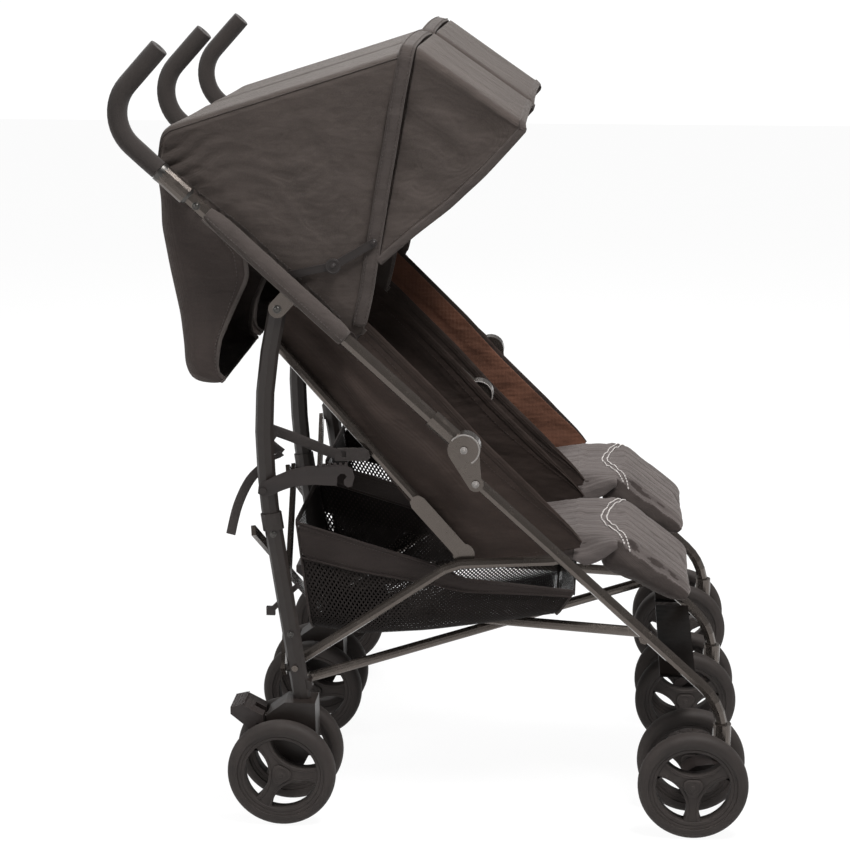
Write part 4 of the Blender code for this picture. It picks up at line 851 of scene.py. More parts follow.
def handle_sleeve(frame_y, sign):
    rows = []
    start, end, steps = 0.216, 0.462, 44
    for step in range(steps + 1):
        s = start + (end - start) * step / steps
        swell = 1.0 - 0.30 * max(0.0, (step / steps - 0.85) / 0.15) ** 2 - 0.16 * max(0.0, 1 - step / 2)
        row = []
        for turn in range(11):
            angle = math.radians(-38 + turn * 16)
            gather = 0.0007 * math.sin(s * 420 + 2.5 * math.sin(s * 60)) * math.sin(math.pi * turn / 10)
            radius = 0.0138 * swell + gather + 0.0008 * noise.noise(V(s, turn * 0.01, 0) * 60)
            lift = radius * math.cos(angle)
            x, z = along(s, lift)
            row.append(V(x, frame_y - sign * radius * math.sin(angle), z))
        rows.append(row)
    return loft("handle_sleeve", rows, TRIM_CLOTH, thickness=CLOTH)


for side, (frame_y, sign) in BAYS.items():
    sleeve = handle_sleeve(frame_y, sign)
    sleeve.name = f"handle_sleeve_{side}"
    hem = []
    for lift, reach in ((-0.0075, 0.0118), (-0.0010, 0.0143)):
        line = [at(along(0.218 + 0.243 * i / 20, lift), frame_y - sign * reach) for i in range(21)]
        if lift < -0.005:
            hem.append(sweep("hem", line, 0.0026, 0.0026, PIPING, sides=8))
        else:
            hem.append(dark_seam(line))
    hem = joined(f"handle_sleeve_hem_{side}", hem)
    for piece in (sleeve, hem):
        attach(piece, f"frame_{side}")

# Rear flaps

FLAP_LANE = 0.0185
FLAP_REAR = [
    (-0.4440, 0.888), (-0.4435, 0.817), (-0.4340, 0.760), (-0.4215, 0.697), (-0.4175, 0.655),
    (-0.4165, 0.626), (-0.4080, 0.609), (-0.3960, 0.6035), (-0.3800, 0.6040), (-0.3640, 0.6080),
]
FLAP_FRONT = [
    (-0.4360, 0.893), (-0.372, 0.833), (-0.330, 0.790), (-0.326, 0.752), (-0.3480, 0.706), (-0.3660, 0.665),
    (-0.3710, 0.634), (-0.3700, 0.622), (-0.3660, 0.616), (-0.3600, 0.612),
]
FLAP_STATIONS = 28
FLAP_CORNER = 0.022


def row_across(start, way, outer, inner, spots):
    """World points from (depth, across) pairs, with depth along a way in the side plane."""
    sign = 1 if inner > outer else -1
    row = []
    for depth, across in spots:
        side = Vector(start) + way * depth
        row.append(V(side.x, outer + sign * across, side.y))
    return row


def flap_rows(outer, inner):
    rows = []
    width = abs(inner - outer)
    for step in range(FLAP_STATIONS + 1):
        share = step / FLAP_STATIONS
        rear = between(FLAP_REAR, share)
        front = between(FLAP_FRONT, share)
        deep = math.hypot(front[0] - rear[0], front[1] - rear[1])
        corner = min(FLAP_CORNER, deep * 0.6)
        inward = (Vector(front) - Vector(rear)) / max(deep, 1e-6)
        spots = []
        for part in range(6):
            hang = part / 6
            folds = 0.003 * (1 - hang) * share * (1 + math.sin(share * 9 + part)) / 2
            spots.append((deep - (deep - corner) * hang, folds))
        spots += [(corner * (1 - rise), corner * turn) for rise, turn in CORNER]
        for part in range(1, 9):
            along_row = part / 9
            sag = 0.004 * math.sin(math.pi * along_row) * math.sin(math.pi * share)
            folds = 0.0016 * math.sin(along_row * 19 + share * 6) * share
            spots.append((sag * 0.4 + max(folds, 0), corner + (width - 2 * corner) * along_row))
        spots += [(corner * (1 - rise), width - corner * turn) for rise, turn in CORNER[::-1]]
        for part in range(5, -1, -1):
            hang = part / 6
            folds = 0.003 * (1 - hang) * share * (1 + math.sin(share * 8 + part)) / 2
            spots.append((deep - (deep - corner) * hang, width - folds))
        rows.append(row_across(rear, inward, outer, inner, spots))
    return rows


for side, (frame_y, sign) in BAYS.items():
    outer = frame_y + sign * FLAP_LANE
    inner = -sign * FLAP_LANE
    rows = flap_rows(outer, inner)
    flap = loft(f"rear_flap_{side}", rows, FLAP_CLOTH, thickness=CLOTH)
    trim = []
    for column in (0, -1):
        edge = [row[column] for row in rows[9:]]
        trim.append(sweep("edge", path(edge, 0.01), 0.0030, 0.0060, PIPING, Vector((0.9, 0, 0.3)), 8, 0.8))
        seam = [row[1 if column == 0 else -2] for row in rows[9:]]
        seam = [point - Vector((0, (sign if column == 0 else -sign) * 0.0010, 0)) for point in seam]
        trim.append(stitches(seam, 0.0006, 0.005, 0.7, THREAD if column == 0 else DARK_THREAD))
    trim.append(sweep("lower_edge", path(rows[-1], 0.01), 0.0040, 0.0030, PIPING, sides=8))
    trim = joined(f"rear_flap_trim_{side}", trim)
    for piece in (flap, trim):
        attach(piece, "frame_middle")
        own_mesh(piece)
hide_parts("hood_flaps")

# Seat pads, backs and calf rests: pressed full of air by a cloth simulation, then given their channels

PAD_LANE = 0.0470
PAD_INSET = 0.004
PAD_PRESSURE = 4.0
SWELL_FRAMES = 20
CHANNEL_PITCH = 0.0285


def closed_block(name, outline, y_low, y_high, surface, draw, across=14):
    """A closed solid from an (x, z) outline, whose ends pull in towards its middle."""
    cx = sum(x for x, _ in outline) / len(outline)
    cz = sum(z for _, z in outline) / len(outline)
    rows = []
    for step in range(across + 1):
        v = 2 * step / across - 1
        y = (y_low + y_high) / 2 + v * (y_high - y_low) / 2
        shrink = 1 - draw * abs(v) ** 4
        row = []
        for x, z in outline:
            drawn = Vector((x - cx, z - cz)) * shrink
            row.append(V(cx + drawn.x, y, cz + drawn.y))
        rows.append(row)
    return loft(name, rows, surface, closed=True, levels=0, ends=True)


def inflated(piece, voxel, pressure, cap):
    """Remeshes a closed piece and swells it by a cloth simulation's pressure, no point moving past cap."""
    modified(piece, ("REMESH", {"mode": "VOXEL", "voxel_size": voxel, "use_smooth_shade": True}))
    rest = [vertex.co.copy() for vertex in piece.data.vertices]
    cloth = piece.modifiers.new("cloth", "CLOTH")
    cloth.settings.quality = 5
    cloth.settings.mass = 0.3
    cloth.settings.tension_stiffness = 12
    cloth.settings.compression_stiffness = 12
    cloth.settings.bending_stiffness = 0.6
    cloth.settings.use_pressure = True
    cloth.settings.uniform_pressure_force = pressure
    cloth.settings.effector_weights.gravity = 0
    cloth.collision_settings.use_collision = False
    cloth.point_cache.frame_start = 1
    cloth.point_cache.frame_end = SWELL_FRAMES
    scene = bpy.context.scene
    for number in range(1, SWELL_FRAMES + 1):
        scene.frame_set(number)
    evaluated = piece.evaluated_get(bpy.context.evaluated_depsgraph_get())
    swollen = [vertex.co.copy() for vertex in evaluated.data.vertices]
    piece.modifiers.clear()
    scene.frame_set(1)
    for vertex, old, new in zip(piece.data.vertices, rest, swollen):
        step = new - old
        if step.length > cap:
            step = step.normalized() * cap
        vertex.co = old + step
    return modified(piece, ("SMOOTH", {"factor": 0.5, "iterations": 2}))


def channelled(piece, centre_y, depth, pitch, top_only=None):
    """Sews channels along the pad, as grooves between soft ribs with small puckers."""
    for vertex, normal in zip(piece.data.vertices, [v.normal.copy() for v in piece.data.vertices]):
        place = vertex.co
        if top_only and not top_only(place, normal):
            continue
        across = place.y - centre_y
        phase = across / pitch + 0.5
        near = abs(phase - round(phase)) * pitch
        groove = math.exp(-((near / 0.0038) ** 2))
        pucker = 0.0007 * math.sin(place.x * 420 + place.z * 300 + round(phase) * 2.1)
        pucker *= math.exp(-((near / 0.008) ** 2))
        vertex.co = place - normal * (depth * groove) + normal * pucker
    piece.data.update()


def held_inside(piece, low, high):
    for vertex in piece.data.vertices:
        for axis in range(3):
            vertex.co[axis] = min(max(vertex.co[axis], low[axis]), high[axis])
    piece.data.update()


def mirrored(piece, name):
    """A copy across the stroller's middle."""
    mesh = piece.data.copy()
    mesh.transform(Matrix.Diagonal((1, -1, 1, 1)))
    mesh.flip_normals()
    return new_object(name, mesh)


pad_low = -SPACING + PAD_LANE
pad_high = -PAD_LANE
pad_middle = (pad_low + pad_high) / 2

SEAT_OUTLINE = [
    (-0.026, 0.344), (-0.0275, 0.354), (-0.020, 0.364), (0.010, 0.370), (0.050, 0.376), (0.090, 0.3815),
    (0.120, 0.386), (0.1450, 0.3885), (0.1466, 0.376), (0.1450, 0.363), (0.120, 0.3595), (0.075, 0.354),
    (0.030, 0.3485), (-0.005, 0.344),
]
CALF_OUTLINE = [
    (0.1475, 0.372), (0.1480, 0.386), (0.1560, 0.3935), (0.1660, 0.3955), (0.1800, 0.390), (0.2000, 0.3755),
    (0.2200, 0.3600), (0.2500, 0.3370), (0.2760, 0.3165), (0.2815, 0.3065), (0.2750, 0.2990),
    (0.2560, 0.3030),
    (0.2280, 0.3150), (0.2000, 0.3285), (0.1750, 0.3400), (0.1540, 0.3480), (0.1480, 0.3580),
]
BACK_OUTLINE = [
    back_point(0.052, 0.000), back_point(0.052, 0.010), back_point(0.10, 0.018), back_point(0.20, 0.021),
    back_point(0.30, 0.020), back_point(0.37, 0.016), back_point(0.388, 0.006), back_point(0.388, -0.002),
    back_point(0.30, -0.004), back_point(0.20, -0.004), back_point(0.10, -0.004),
]


def pad(name, outline, draw, voxel, cap, depth, sewn):
    """A pad of the right seat: a closed block, swollen, then channelled where sewn says so."""
    block = closed_block(name, outline, pad_low + PAD_INSET, pad_high - PAD_INSET, SEAT_CLOTH, draw)
    block = inflated(block, voxel, PAD_PRESSURE, cap)
    channelled(block, pad_middle, depth, CHANNEL_PITCH, sewn)
    return block


seat_solid = pad(
    "seat_pad_right", SEAT_OUTLINE, 0.06, 0.005, 0.007, 0.0034, lambda place, normal: normal.z > 0.2
)
calf_solid = pad(
    "calf_pad_right", CALF_OUTLINE, 0.05, 0.005, 0.006, 0.0034,
    lambda place, normal: normal.z > -0.1 or normal.x > 0.3,
)
back_solid = pad(
    "back_pad_right", BACK_OUTLINE, 0.03, 0.006, 0.006, 0.0030, lambda place, normal: normal.x > 0.1
)
for piece in (seat_solid, calf_solid, back_solid):
    modified(piece, ("SUBSURF", {"levels": 1, "render_levels": 1}))
    piece.data.shade_smooth()
    # Faces turned sideways or downwards take the darker cloth: painted shade on the pads' sides and
    # undersides.
    piece.data.materials.append(SHADED_PAD_CLOTH)
    for face in piece.data.polygons:
        if abs(face.normal.y) > 0.75 or face.normal.z < -0.35:
            face.material_index = 1
held_inside(seat_solid, V(-0.0290, pad_low, 0.3410), V(0.1468, pad_high, 0.3980))
held_inside(calf_solid, V(0.1405, pad_low, 0.2950), V(0.2860, pad_high, 0.4030))

for side, (frame_y, sign) in BAYS.items():
    if side == "right":
        seat, calf, back = seat_solid, calf_solid, back_solid
    else:
        seat = mirrored(seat_solid, "seat_pad_left")
        calf = mirrored(calf_solid, "calf_pad_left")
        back = mirrored(back_solid, "back_pad_left")
    for piece, body, node, keep in (
        (seat, "seat_rail_middle", "seat_pads", 0.17),
        (calf, f"calf_rest_{side}", f"calf_rest_{side}", 0.17),
        (back, f"backrest_{side}_outer", f"seat_back_{side}", 0.19),
    ):
        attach(piece, body)
        if side == "right" or node != "seat_pads":
            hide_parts(node)
        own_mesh(piece)

# The cloth over each knee edge, and the pale double stitching that bows across it


KNEE_REAR = 0.1290
KNEE_FRONT = 0.1600
KNEE_GAP = 0.0310
KNEE_START = 0.1130
KNEE_PITCH = 0.0050
KNEE_STEPS = 44
KNEE_HEM = (0.0, 0.006, 0.016, 0.026)


def top_of(pieces, x, y):
    """The highest point of some pieces over a place, and the surface's normal there."""
    best = None
    for piece in pieces:
        hit, place, normal, _ = piece.ray_cast(V(x, y, 0.60), Vector((0, 0, -1)))
        if hit and (best is None or place.z > best[0].z):
            best = (place, normal)
    return best


for side, (_, sign) in BAYS.items():
    middle = pad_middle if side == "right" else -pad_middle
    full = (pad_high - pad_low) / 2
    half = full - 0.010
    seat = bpy.data.objects[f"seat_pad_{side}"]
    calf = bpy.data.objects[f"calf_pad_{side}"]
    bpy.context.view_layer.update()
    rows = []
    for step in range(-3, KNEE_STEPS + 4):
        inside = min(max(step, 0), KNEE_STEPS)
        over = max(-step, step - KNEE_STEPS, 0)
        y = middle + half * (2 * inside / KNEE_STEPS - 1)
        rear = top_of([seat, calf], KNEE_REAR, y)
        front = top_of([seat, calf], KNEE_FRONT, y)
        if not rear or not front:
            continue
        edge = math.copysign(full + 0.0008, inside - KNEE_STEPS / 2)
        row = []
        for part in range(13):
            x = KNEE_START + part * KNEE_PITCH
            if KNEE_REAR < x < KNEE_FRONT:
                share = (x - KNEE_REAR) / KNEE_GAP
                z = rear[0].z + (front[0].z - rear[0].z) * share + 0.0015 * math.sin(math.pi * share)
            else:
                found = top_of([seat, calf], x, y)
                z = found[0].z if found else rear[0].z
            lip = 0.0012 if 0 < part < 12 else -0.0006
            drop = KNEE_HEM[over] * (1 - 0.6 * (part / 6 - 1) ** 2)
            row.append(V(x, middle + edge if over else y, z + lip - drop))
        rows.append(row)
    cover = loft(f"knee_cover_{side}", rows, SEAT_CLOTH, thickness=THIN_CLOTH)
    bpy.context.view_layer.update()
    lines = []
    for offset in (0.0, 0.0080):
        line = []
        for step in range(41):
            v = 2 * step / 40 - 1
            found = top_of([cover, calf], 0.1500 + offset + 0.032 * abs(v) ** 1.6, middle + v * half)
            if found:
                line.append(found[0] + found[1] * 0.0010)
        lines.append(stitches(line, 0.0012, 0.0050, 0.9, THREAD))
    stitching = joined(f"calf_stitching_{side}", lines)
    for piece in (cover, stitching):
        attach(piece, f"calf_rest_{side}")
        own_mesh(piece)

# Side panels of cloth, with gathers that run from the back tube down to the seat

PANEL_LANE = 0.0442
PANEL_STATIONS = 44
PLEAT_DEPTH = 0.0062
PANEL_UPPER = [
    (-0.262, 0.768), (-0.162, 0.675), (-0.074, 0.588), (-0.0157, 0.5250), (0.0200, 0.4900), (0.0528, 0.4580),
    (0.0724, 0.4390), (0.0945, 0.4190), (0.1118, 0.4025), (0.1240, 0.3875),
]
PANEL_LOWER = [
    (-0.292, 0.650), (-0.262, 0.630), (-0.193, 0.547), (-0.125, 0.462), (-0.070, 0.396), (-0.046, 0.363),
    (-0.037, 0.356), (0.0024, 0.3545), (0.0538, 0.3655), (0.0879, 0.3735), (0.1220, 0.3810),
]


def panel_rows(y, outward, folds):
    rows = []
    for step in range(PANEL_STATIONS + 1):
        share = step / PANEL_STATIONS
        low = between(PANEL_LOWER, share)
        high = between(PANEL_UPPER, share)
        row = []
        for part in range(29):
            t = part / 28
            x, z = mixed(low, high, t)
            ease = math.sin(math.pi * min(t * 1.15, 1.0)) if t < 0.87 else 0.0
            phase = t * (21 - 9 * share) + 1.6 * math.sin(share * 5.0) + 0.5 * math.sin(share * 17 + t * 6)
            pleat = math.sin(phase)
            pull = folds * (0.5 + 0.5 * pleat) * ease * math.sin(math.pi * min(share * 1.1 + 0.08, 1.0))
            row.append(V(x, y + outward * pull, z))
        rows.append(row)
    return rows


for side, (frame_y, sign) in BAYS.items():
    for which, base, outward in (
        ("outer", frame_y + sign * PANEL_LANE, sign), ("inner", -sign * PANEL_LANE, -sign)
    ):
        rows = panel_rows(base, -outward, PLEAT_DEPTH)
        panel = loft(f"side_panel_{side}_{which}", rows, PANEL_CLOTH, thickness=0.0012)
        trim = []
        upper = path([row[-1] for row in rows], 0.012)
        lower = path([row[0] for row in rows], 0.012)
        slim = [min(1.0, 0.25 + 0.10 * (len(upper) - 1 - i)) for i in range(len(upper))]
        slim_low = [min(1.0, 0.25 + 0.10 * (len(lower) - 1 - i)) for i in range(len(lower))]
        trim.append(sweep("upper_hem", upper, 0.0024, 0.0125, PANEL_CLOTH, HEM_UP, 10, 0.6, taper=slim))
        trim.append(sweep("upper_pipe", upper, 0.0030, 0.0030, PIPING, sides=8))
        trim.append(sweep("lower_hem", lower, 0.0026, 0.0080, TRIM_CLOTH, HEM_UP, 10, 0.6, taper=slim_low))
        for column in (-4, 2):
            for face in (-0.0011, 0.0011):
                seam = [row[column] + Vector((0, face, 0)) for row in rows[2:-1]]
                trim.append(stitches(seam, 0.0005, 0.005, 0.7, DARK_THREAD))
        trim = joined(f"side_panel_trim_{side}_{which}", trim)
        extra = [trim]
        if which == "outer":
            behind = [[point + Vector((0, sign * 0.0014, 0)) for point in row] for row in rows]
            # The lining on the outer panel's inner face: brown mesh painted bright as painted backlight.
            lining = loft(f"panel_lining_{side}", behind, BACKLIT_LINING, thickness=0.0008)
            extra.append(lining)
        for piece in (panel, *extra):
            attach(piece, f"backrest_{side}_outer")
            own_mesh(piece)

# Baskets: sagging net shells with a woven band round the rim

BASKET_LANE = 0.0470
BASKET_TOP = [
    (-0.2690, 0.4055), (-0.170, 0.3760), (-0.080, 0.3495), (-0.040, 0.3300), (0.030, 0.3240),
    (0.1150, 0.3160),
]
BASKET_FLOOR = [(-0.2500, 0.2480), (-0.180, 0.2385), (-0.090, 0.2460), (0.020, 0.2630), (0.0895, 0.2765)]
BASKET_STATIONS = 24
BASKET_CORNER = 0.026
BASKET_PULL = 0.004


def basket_rows(outer, inner):
    rows = []
    width = abs(inner - outer)
    for step in range(BASKET_STATIONS + 1):
        share = step / BASKET_STATIONS
        top = between(BASKET_TOP, share)
        low = between(BASKET_FLOOR, share)
        tall = math.hypot(top[0] - low[0], top[1] - low[1])
        corner = min(BASKET_CORNER, tall * 0.5)
        down = (Vector(low) - Vector(top)) / tall
        sag = 0.006 * math.sin(math.pi * share)
        half = []
        for part in range(8):
            drop = part / 8
            half.append(
                ((tall - corner) * drop, BASKET_PULL * math.sin(math.pi * drop) * math.sin(math.pi * share))
            )
        half += [(tall - corner + corner * rise, corner * turn) for rise, turn in CORNER]
        spots = list(half)
        for part in range(1, 8):
            over = part / 8
            spots.append((tall + sag * math.sin(math.pi * over), corner + (width - 2 * corner) * over))
        spots += [(depth, width - across) for depth, across in half[::-1]]
        rows.append(row_across(top, down, outer, inner, spots))
    return rows


def end_cap(name, row, sign):
    """The cloth that closes a basket's end, between the two halves of its end row."""
    half = len(row) // 2
    left = row[: half + 1]
    right = row[half:][::-1]
    rows = []
    for a, b in zip(left, right):
        row = []
        for part in range(7):
            bulge = sign * 0.004 * math.sin(math.pi * part / 6)
            row.append(a.lerp(b, part / 6) + Vector((bulge, 0, 0)))
        rows.append(row)
    return loft(name, rows, BAND_CLOTH, thickness=THIN_CLOTH, levels=0)


for side, (frame_y, sign) in BAYS.items():
    outer = frame_y + sign * BASKET_LANE
    inner = -sign * BASKET_LANE
    rows = basket_rows(outer, inner)
    shell = loft("shell", rows, NET, thickness=THIN_CLOTH)
    basket = joined(
        f"basket_net_{side}", [shell, end_cap("rear", rows[0], 0.2), end_cap("front", rows[-1], -0.2)]
    )
    trim = []
    for near in (True, False):
        columns = (0, 1, 2, 3) if near else (-1, -2, -3, -4)
        face = -sign if near else sign
        band = []
        for row in rows:
            band.append([row[c] + Vector((0, face * 0.0011, 0)) for c in columns])
        trim.append(loft("band", band, BAND_CLOTH, thickness=CLOTH))
        rim = [row[columns[0]] for row in rows]
        trim.append(sweep("rim", path(rim, 0.015), 0.0042, 0.0042, TRIM_CLOTH, sides=8))
        low_edge = [row[columns[-1]] + Vector((0, face * 0.0022, 0)) for row in rows]
        trim.append(sweep("band_edge", path(low_edge, 0.015), 0.0018, 0.0030, TRIM_CLOTH, sides=8))
        for c in (0.35, 2.6):
            k = int(c)
            lifted = Vector((0, face * 0.0021, 0))
            seam = [row[columns[k]].lerp(row[columns[k + 1]], c - k) + lifted for row in rows]
            trim.append(stitches(seam, 0.0005, 0.0045, 0.7, PIPING))
    for row in (rows[0], rows[-1]):
        trim.append(sweep("end_edge", path(row, 0.012), 0.0045, 0.0030, TRIM_CLOTH, Vector((1, 0, 0.2)), 8))
        across = [row[0].lerp(row[-1], part / 8) for part in range(9)]
        trim.append(sweep("end_rim", across, 0.0030, 0.012, BAND_CLOTH, sides=8, square=0.7))
    trim = joined(f"basket_trim_{side}", trim)
    for piece in (basket, trim):
        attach(piece, "seat_rail_middle")
        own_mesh(piece)
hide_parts("baskets")

# Footrest halves

FOOTREST_OUTLINE = [
    (0.234, 0.2085), (0.282, 0.2085), (0.2825, 0.2115), (0.276, 0.2120), (0.258, 0.2112), (0.240, 0.2120),
    (0.234, 0.2118),
]

for side, (frame_y, sign) in BAYS.items():
    near = -sign * 0.0110
    far = frame_y + sign * 0.0100
    board = outline_plate(f"footrest_half_{side}", FOOTREST_OUTLINE, near, far, GLOSS, 0.0006)
    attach(board, "front_leg_middle")
    if side == "right":
        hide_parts("footrest")
    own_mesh(board)

# Foam grips

GRIP_START = 0.5458
GRIP_WIDTH = 0.0268
GRIP_STRAIGHT = 0.592
GRIP_BEND = 0.057
GRIP_REACH = 0.1205
GRIP_END = [
    (0.0131, -0.0005), (0.0129, 0.0006), (0.0122, 0.0010), (0.0050, 0.0009), (0.0046, 0.0003),
    (0.0005, 0.0002),
]


def grip_line(y):
    spots = [along(GRIP_START), along(0.570), along(GRIP_STRAIGHT)]
    for step in range(1, 13):
        turn = step * math.pi / 24
        spots.append(along(GRIP_STRAIGHT + GRIP_BEND * math.sin(turn), GRIP_BEND * (1 - math.cos(turn))))
    for share in (0.25, 0.5, 0.75, 1.0):
        spots.append(along(GRIP_STRAIGHT + GRIP_BEND, GRIP_BEND + (GRIP_REACH - GRIP_BEND) * share))
    return placed(spots, y)


for side, frame_y in FRAMES.items():
    line = grip_line(frame_y)
    taper = [0.97] + [1.0] * (len(line) - 2) + [0.985]
    body = sweep("foam", line, GRIP_WIDTH, GRIP_WIDTH, FOAM, ACROSS, 24, taper=taper)
    tip = line[-1]
    forward = (line[-1] - line[-2]).normalized()
    cap = lathe("cap", GRIP_END, tip, forward, FOAM_END, 28)
    grip = joined(f"foam_grip_{side}", [body, cap])
    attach(grip, f"frame_{side}")
    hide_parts(f"grip_{side}")

# Wheels: rounded tyre, rim with ring lines, three spokes with raised outlines, and a hub cap

TRACK = 0.090
AXLE_X = 0.281
RIM_IN = 0.0500
HUB_EDGE = 0.017
SPOKE_WIDTH = 0.024
WEB_RADIUS = 0.0520
WEB_HALF = 0.0088
TYRE_INNER = 0.0615
TYRE_RISE = 0.0134
TYRE_HALF = 0.0135
WHEEL_STEPS = 72


def lens(angle, grow=0.0, steps=16):
    """The opening between two spokes, about the wheel's centre."""
    rim = RIM_IN - grow
    spread = math.pi / 3 - math.asin((SPOKE_WIDTH / 2 + grow) / rim)
    edge = HUB_EDGE + grow
    chord = rim * math.sin(spread)
    sag = rim * math.cos(spread) - edge
    hollow = (chord**2 + sag**2) / (2 * sag)
    reach = math.asin(min(chord / hollow, 1.0))
    ring = []
    for i in range(steps + 1):
        turn = spread * (2 * i / steps - 1)
        ring.append((rim * math.cos(turn), rim * math.sin(turn)))
    for i in range(1, steps):
        turn = reach * (1 - 2 * i / steps)
        ring.append((edge + hollow * (1 - math.cos(turn)), hollow * math.sin(turn)))
    c, s = math.cos(angle), math.sin(angle)
    return [(x * c - z * s, x * s + z * c) for x, z in ring]


def wheel_parts(axle_x, y, turn):
    centre = V(axle_x, y, WHEEL_R)
    side = Vector((0, -1, 0))
    tyre_profile = []
    for step in range(19):
        angle = math.pi * (step / 18 - 0.5)
        reach = TYRE_INNER + TYRE_RISE * abs(math.cos(angle)) ** 0.62
        tyre_profile.append((reach, TYRE_HALF * math.copysign(abs(math.sin(angle)) ** 0.85, math.sin(angle))))
    bead = [(0.0600, -0.0105), (0.0606, -0.0128)]
    tyre_profile = bead + tyre_profile[1:-1] + [(reach, -height) for reach, height in bead[::-1]]
    parts = [lathe("tyre", tyre_profile + [tyre_profile[0]], centre, side, TYRE, WHEEL_STEPS, False)]
    rim_profile = [
        (0.0503, -0.0088), (0.0510, -0.0098), (0.0545, -0.0104), (0.0552, -0.0098), (0.0560, -0.0104),
        (0.0600, -0.0108), (0.0604, -0.0095),
    ]
    rim_profile += [(reach, -height) for reach, height in rim_profile[::-1]]
    parts.append(
        lathe("rim", rim_profile + [rim_profile[0]], centre, side, WHEEL_PLASTIC, WHEEL_STEPS, False)
    )
    holes = [[(axle_x + x, WHEEL_R + z) for x, z in lens(turn + k * 2 * math.pi / 3)] for k in range(3)]
    disc = circle((axle_x, WHEEL_R), WEB_RADIUS, 60)
    parts.append(outline_plate("web", disc, y - WEB_HALF, y + WEB_HALF, WHEEL_PLASTIC, 0.0016, holes))
    for face in (-1, 1):
        for k in range(3):
            ring = lens(turn + k * 2 * math.pi / 3, -0.0036, 20)
            line = [V(axle_x + x, y + face * 0.0089, WHEEL_R + z) for x, z in ring]
            line = [p for p in line if (p - centre).length < 0.0512]
            parts.append(sweep("outline", line, 0.0013, 0.0012, WHEEL_PLASTIC, ACROSS, 6))
        lobes = []
        for step in range(48):
            angle = 2 * math.pi * step / 48
            reach = 0.0128 + 0.0016 * math.cos(3 * (angle - turn - math.pi / 3))
            lobes.append((axle_x + reach * math.cos(angle), WHEEL_R + reach * math.sin(angle)))
        parts.append(outline_plate("cap", lobes, y + face * 0.0080, y + face * 0.0118, WHEEL_PLASTIC, 0.0012))
        ring = placed(circle((axle_x, WHEEL_R), 0.0095, 32), y + face * 0.0119)
        parts.append(sweep("cap_line", ring + [ring[0]], 0.0008, 0.0008, DARK_STEEL, ACROSS, 6))
    return parts


for kind, axle_x, turn in (("front", AXLE_X, math.pi / 2), ("rear", -AXLE_X, math.pi / 3)):
    single = joined("wheel", wheel_parts(axle_x, 0.0, turn))
    for side, frame_y in FRAMES.items():
        pair = []
        for offset in (-TRACK / 2, TRACK / 2):
            mesh = single.data.copy()
            mesh.transform(Matrix.Translation((0, frame_y + offset, 0)))
            pair.append(new_object("one", mesh))
        axle_profile = [
            (0.0005, -0.0575), (0.0032, -0.0575), (0.0040, -0.0565), (0.0040, 0.0565), (0.0032, 0.0575),
            (0.0005, 0.0575),
        ]
        pair.append(lathe("axle", axle_profile, V(axle_x, frame_y, WHEEL_R), (0, 1, 0), DARK_STEEL, 16))
        wheels = joined(f"wheel_pair_{kind}_{side}", pair)
        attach(wheels, f"{kind}_wheels_{side}")
        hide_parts(f"{kind}_wheels_{side}")
    bpy.data.objects.remove(single, do_unlink=True)

# Rivets, rims and small plastic parts on the frames

LEG_LOW = (-0.257, 0.1635)
LEG_HIGH = (-0.298, 0.440)
FERRULE = [
    (0.0098, -0.052), (0.0112, -0.050), (0.0118, -0.034), (0.0134, -0.006), (0.0137, -0.004), (0.0137, 0.0),
    (0.0098, 0.0),
]

for side, frame_y in FRAMES.items():
    sign = -1 if side != "left" else 1
    out = Vector((0, sign, 0))
    knuckle_face = 0.0140 if side != "middle" else 0.0112
    parts = []
    ring = placed(circle(KNUCKLE, 0.0205, 48), frame_y + sign * (knuckle_face - 0.0004))
    # A pale arc round the knuckle's upper and forward side only: a painted highlight where the light falls on
    # its rim.
    arc = [ring[i % 48] for i in range(-8, 20)]
    parts.append(sweep("rim", arc, 0.0022, 0.0020, EDGE_HIGHLIGHT, ACROSS, 8))
    if side != "middle":
        for spot in (KNUCKLE, along(-0.043, -0.0236)):
            parts.append(rivet(at(spot, frame_y + sign * 0.0163), out, 0.0034, 0.0018))
    else:
        parts.append(rivet(at(KNUCKLE, frame_y + sign * 0.0112), out, 0.0034, 0.0012))
    rims = joined(f"knuckle_trim_{side}", parts)
    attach(rims, f"front_leg_{side}")
    parts = [rivet(at(along(0.478), frame_y + sign * 0.0092), out, 0.0038, 0.0020)]
    pivot = along(0.309, -0.029)
    parts.append(rivet(at(pivot, frame_y + sign * 0.0132), out, 0.0038, 0.0018))
    end = along(0.5445)
    axis = (at(along(0.6), 0) - at(along(0.5), 0)).normalized()
    parts.append(lathe("ferrule", FERRULE, at(end, frame_y), axis, PLASTIC, 28, False))
    rivets = joined(f"handle_fittings_{side}", parts)
    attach(rivets, f"frame_{side}")
    knobs = []
    for z, reach in ((0.262, 0.009), (0.405, 0.0105)):
        share = (z - LEG_LOW[1]) / (LEG_HIGH[1] - LEG_LOW[1])
        knobs.append(
            rivet(V(mixed(LEG_LOW, LEG_HIGH, share)[0], frame_y + sign * reach, z), out, 0.0032, 0.0016)
        )
    knobs = joined(f"rear_leg_rivets_{side}", knobs)
    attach(knobs, f"rear_leg_{side}")

# Hood stays with raised rims and rivets

STAY_PIVOT = along(0.335)
STAY_KNUCKLE = (-0.210, 0.770)
STAY_HOOD = (-0.156, 0.802)
STAY_WIDTH = 0.0108
STAY_THICKNESS = 0.0018

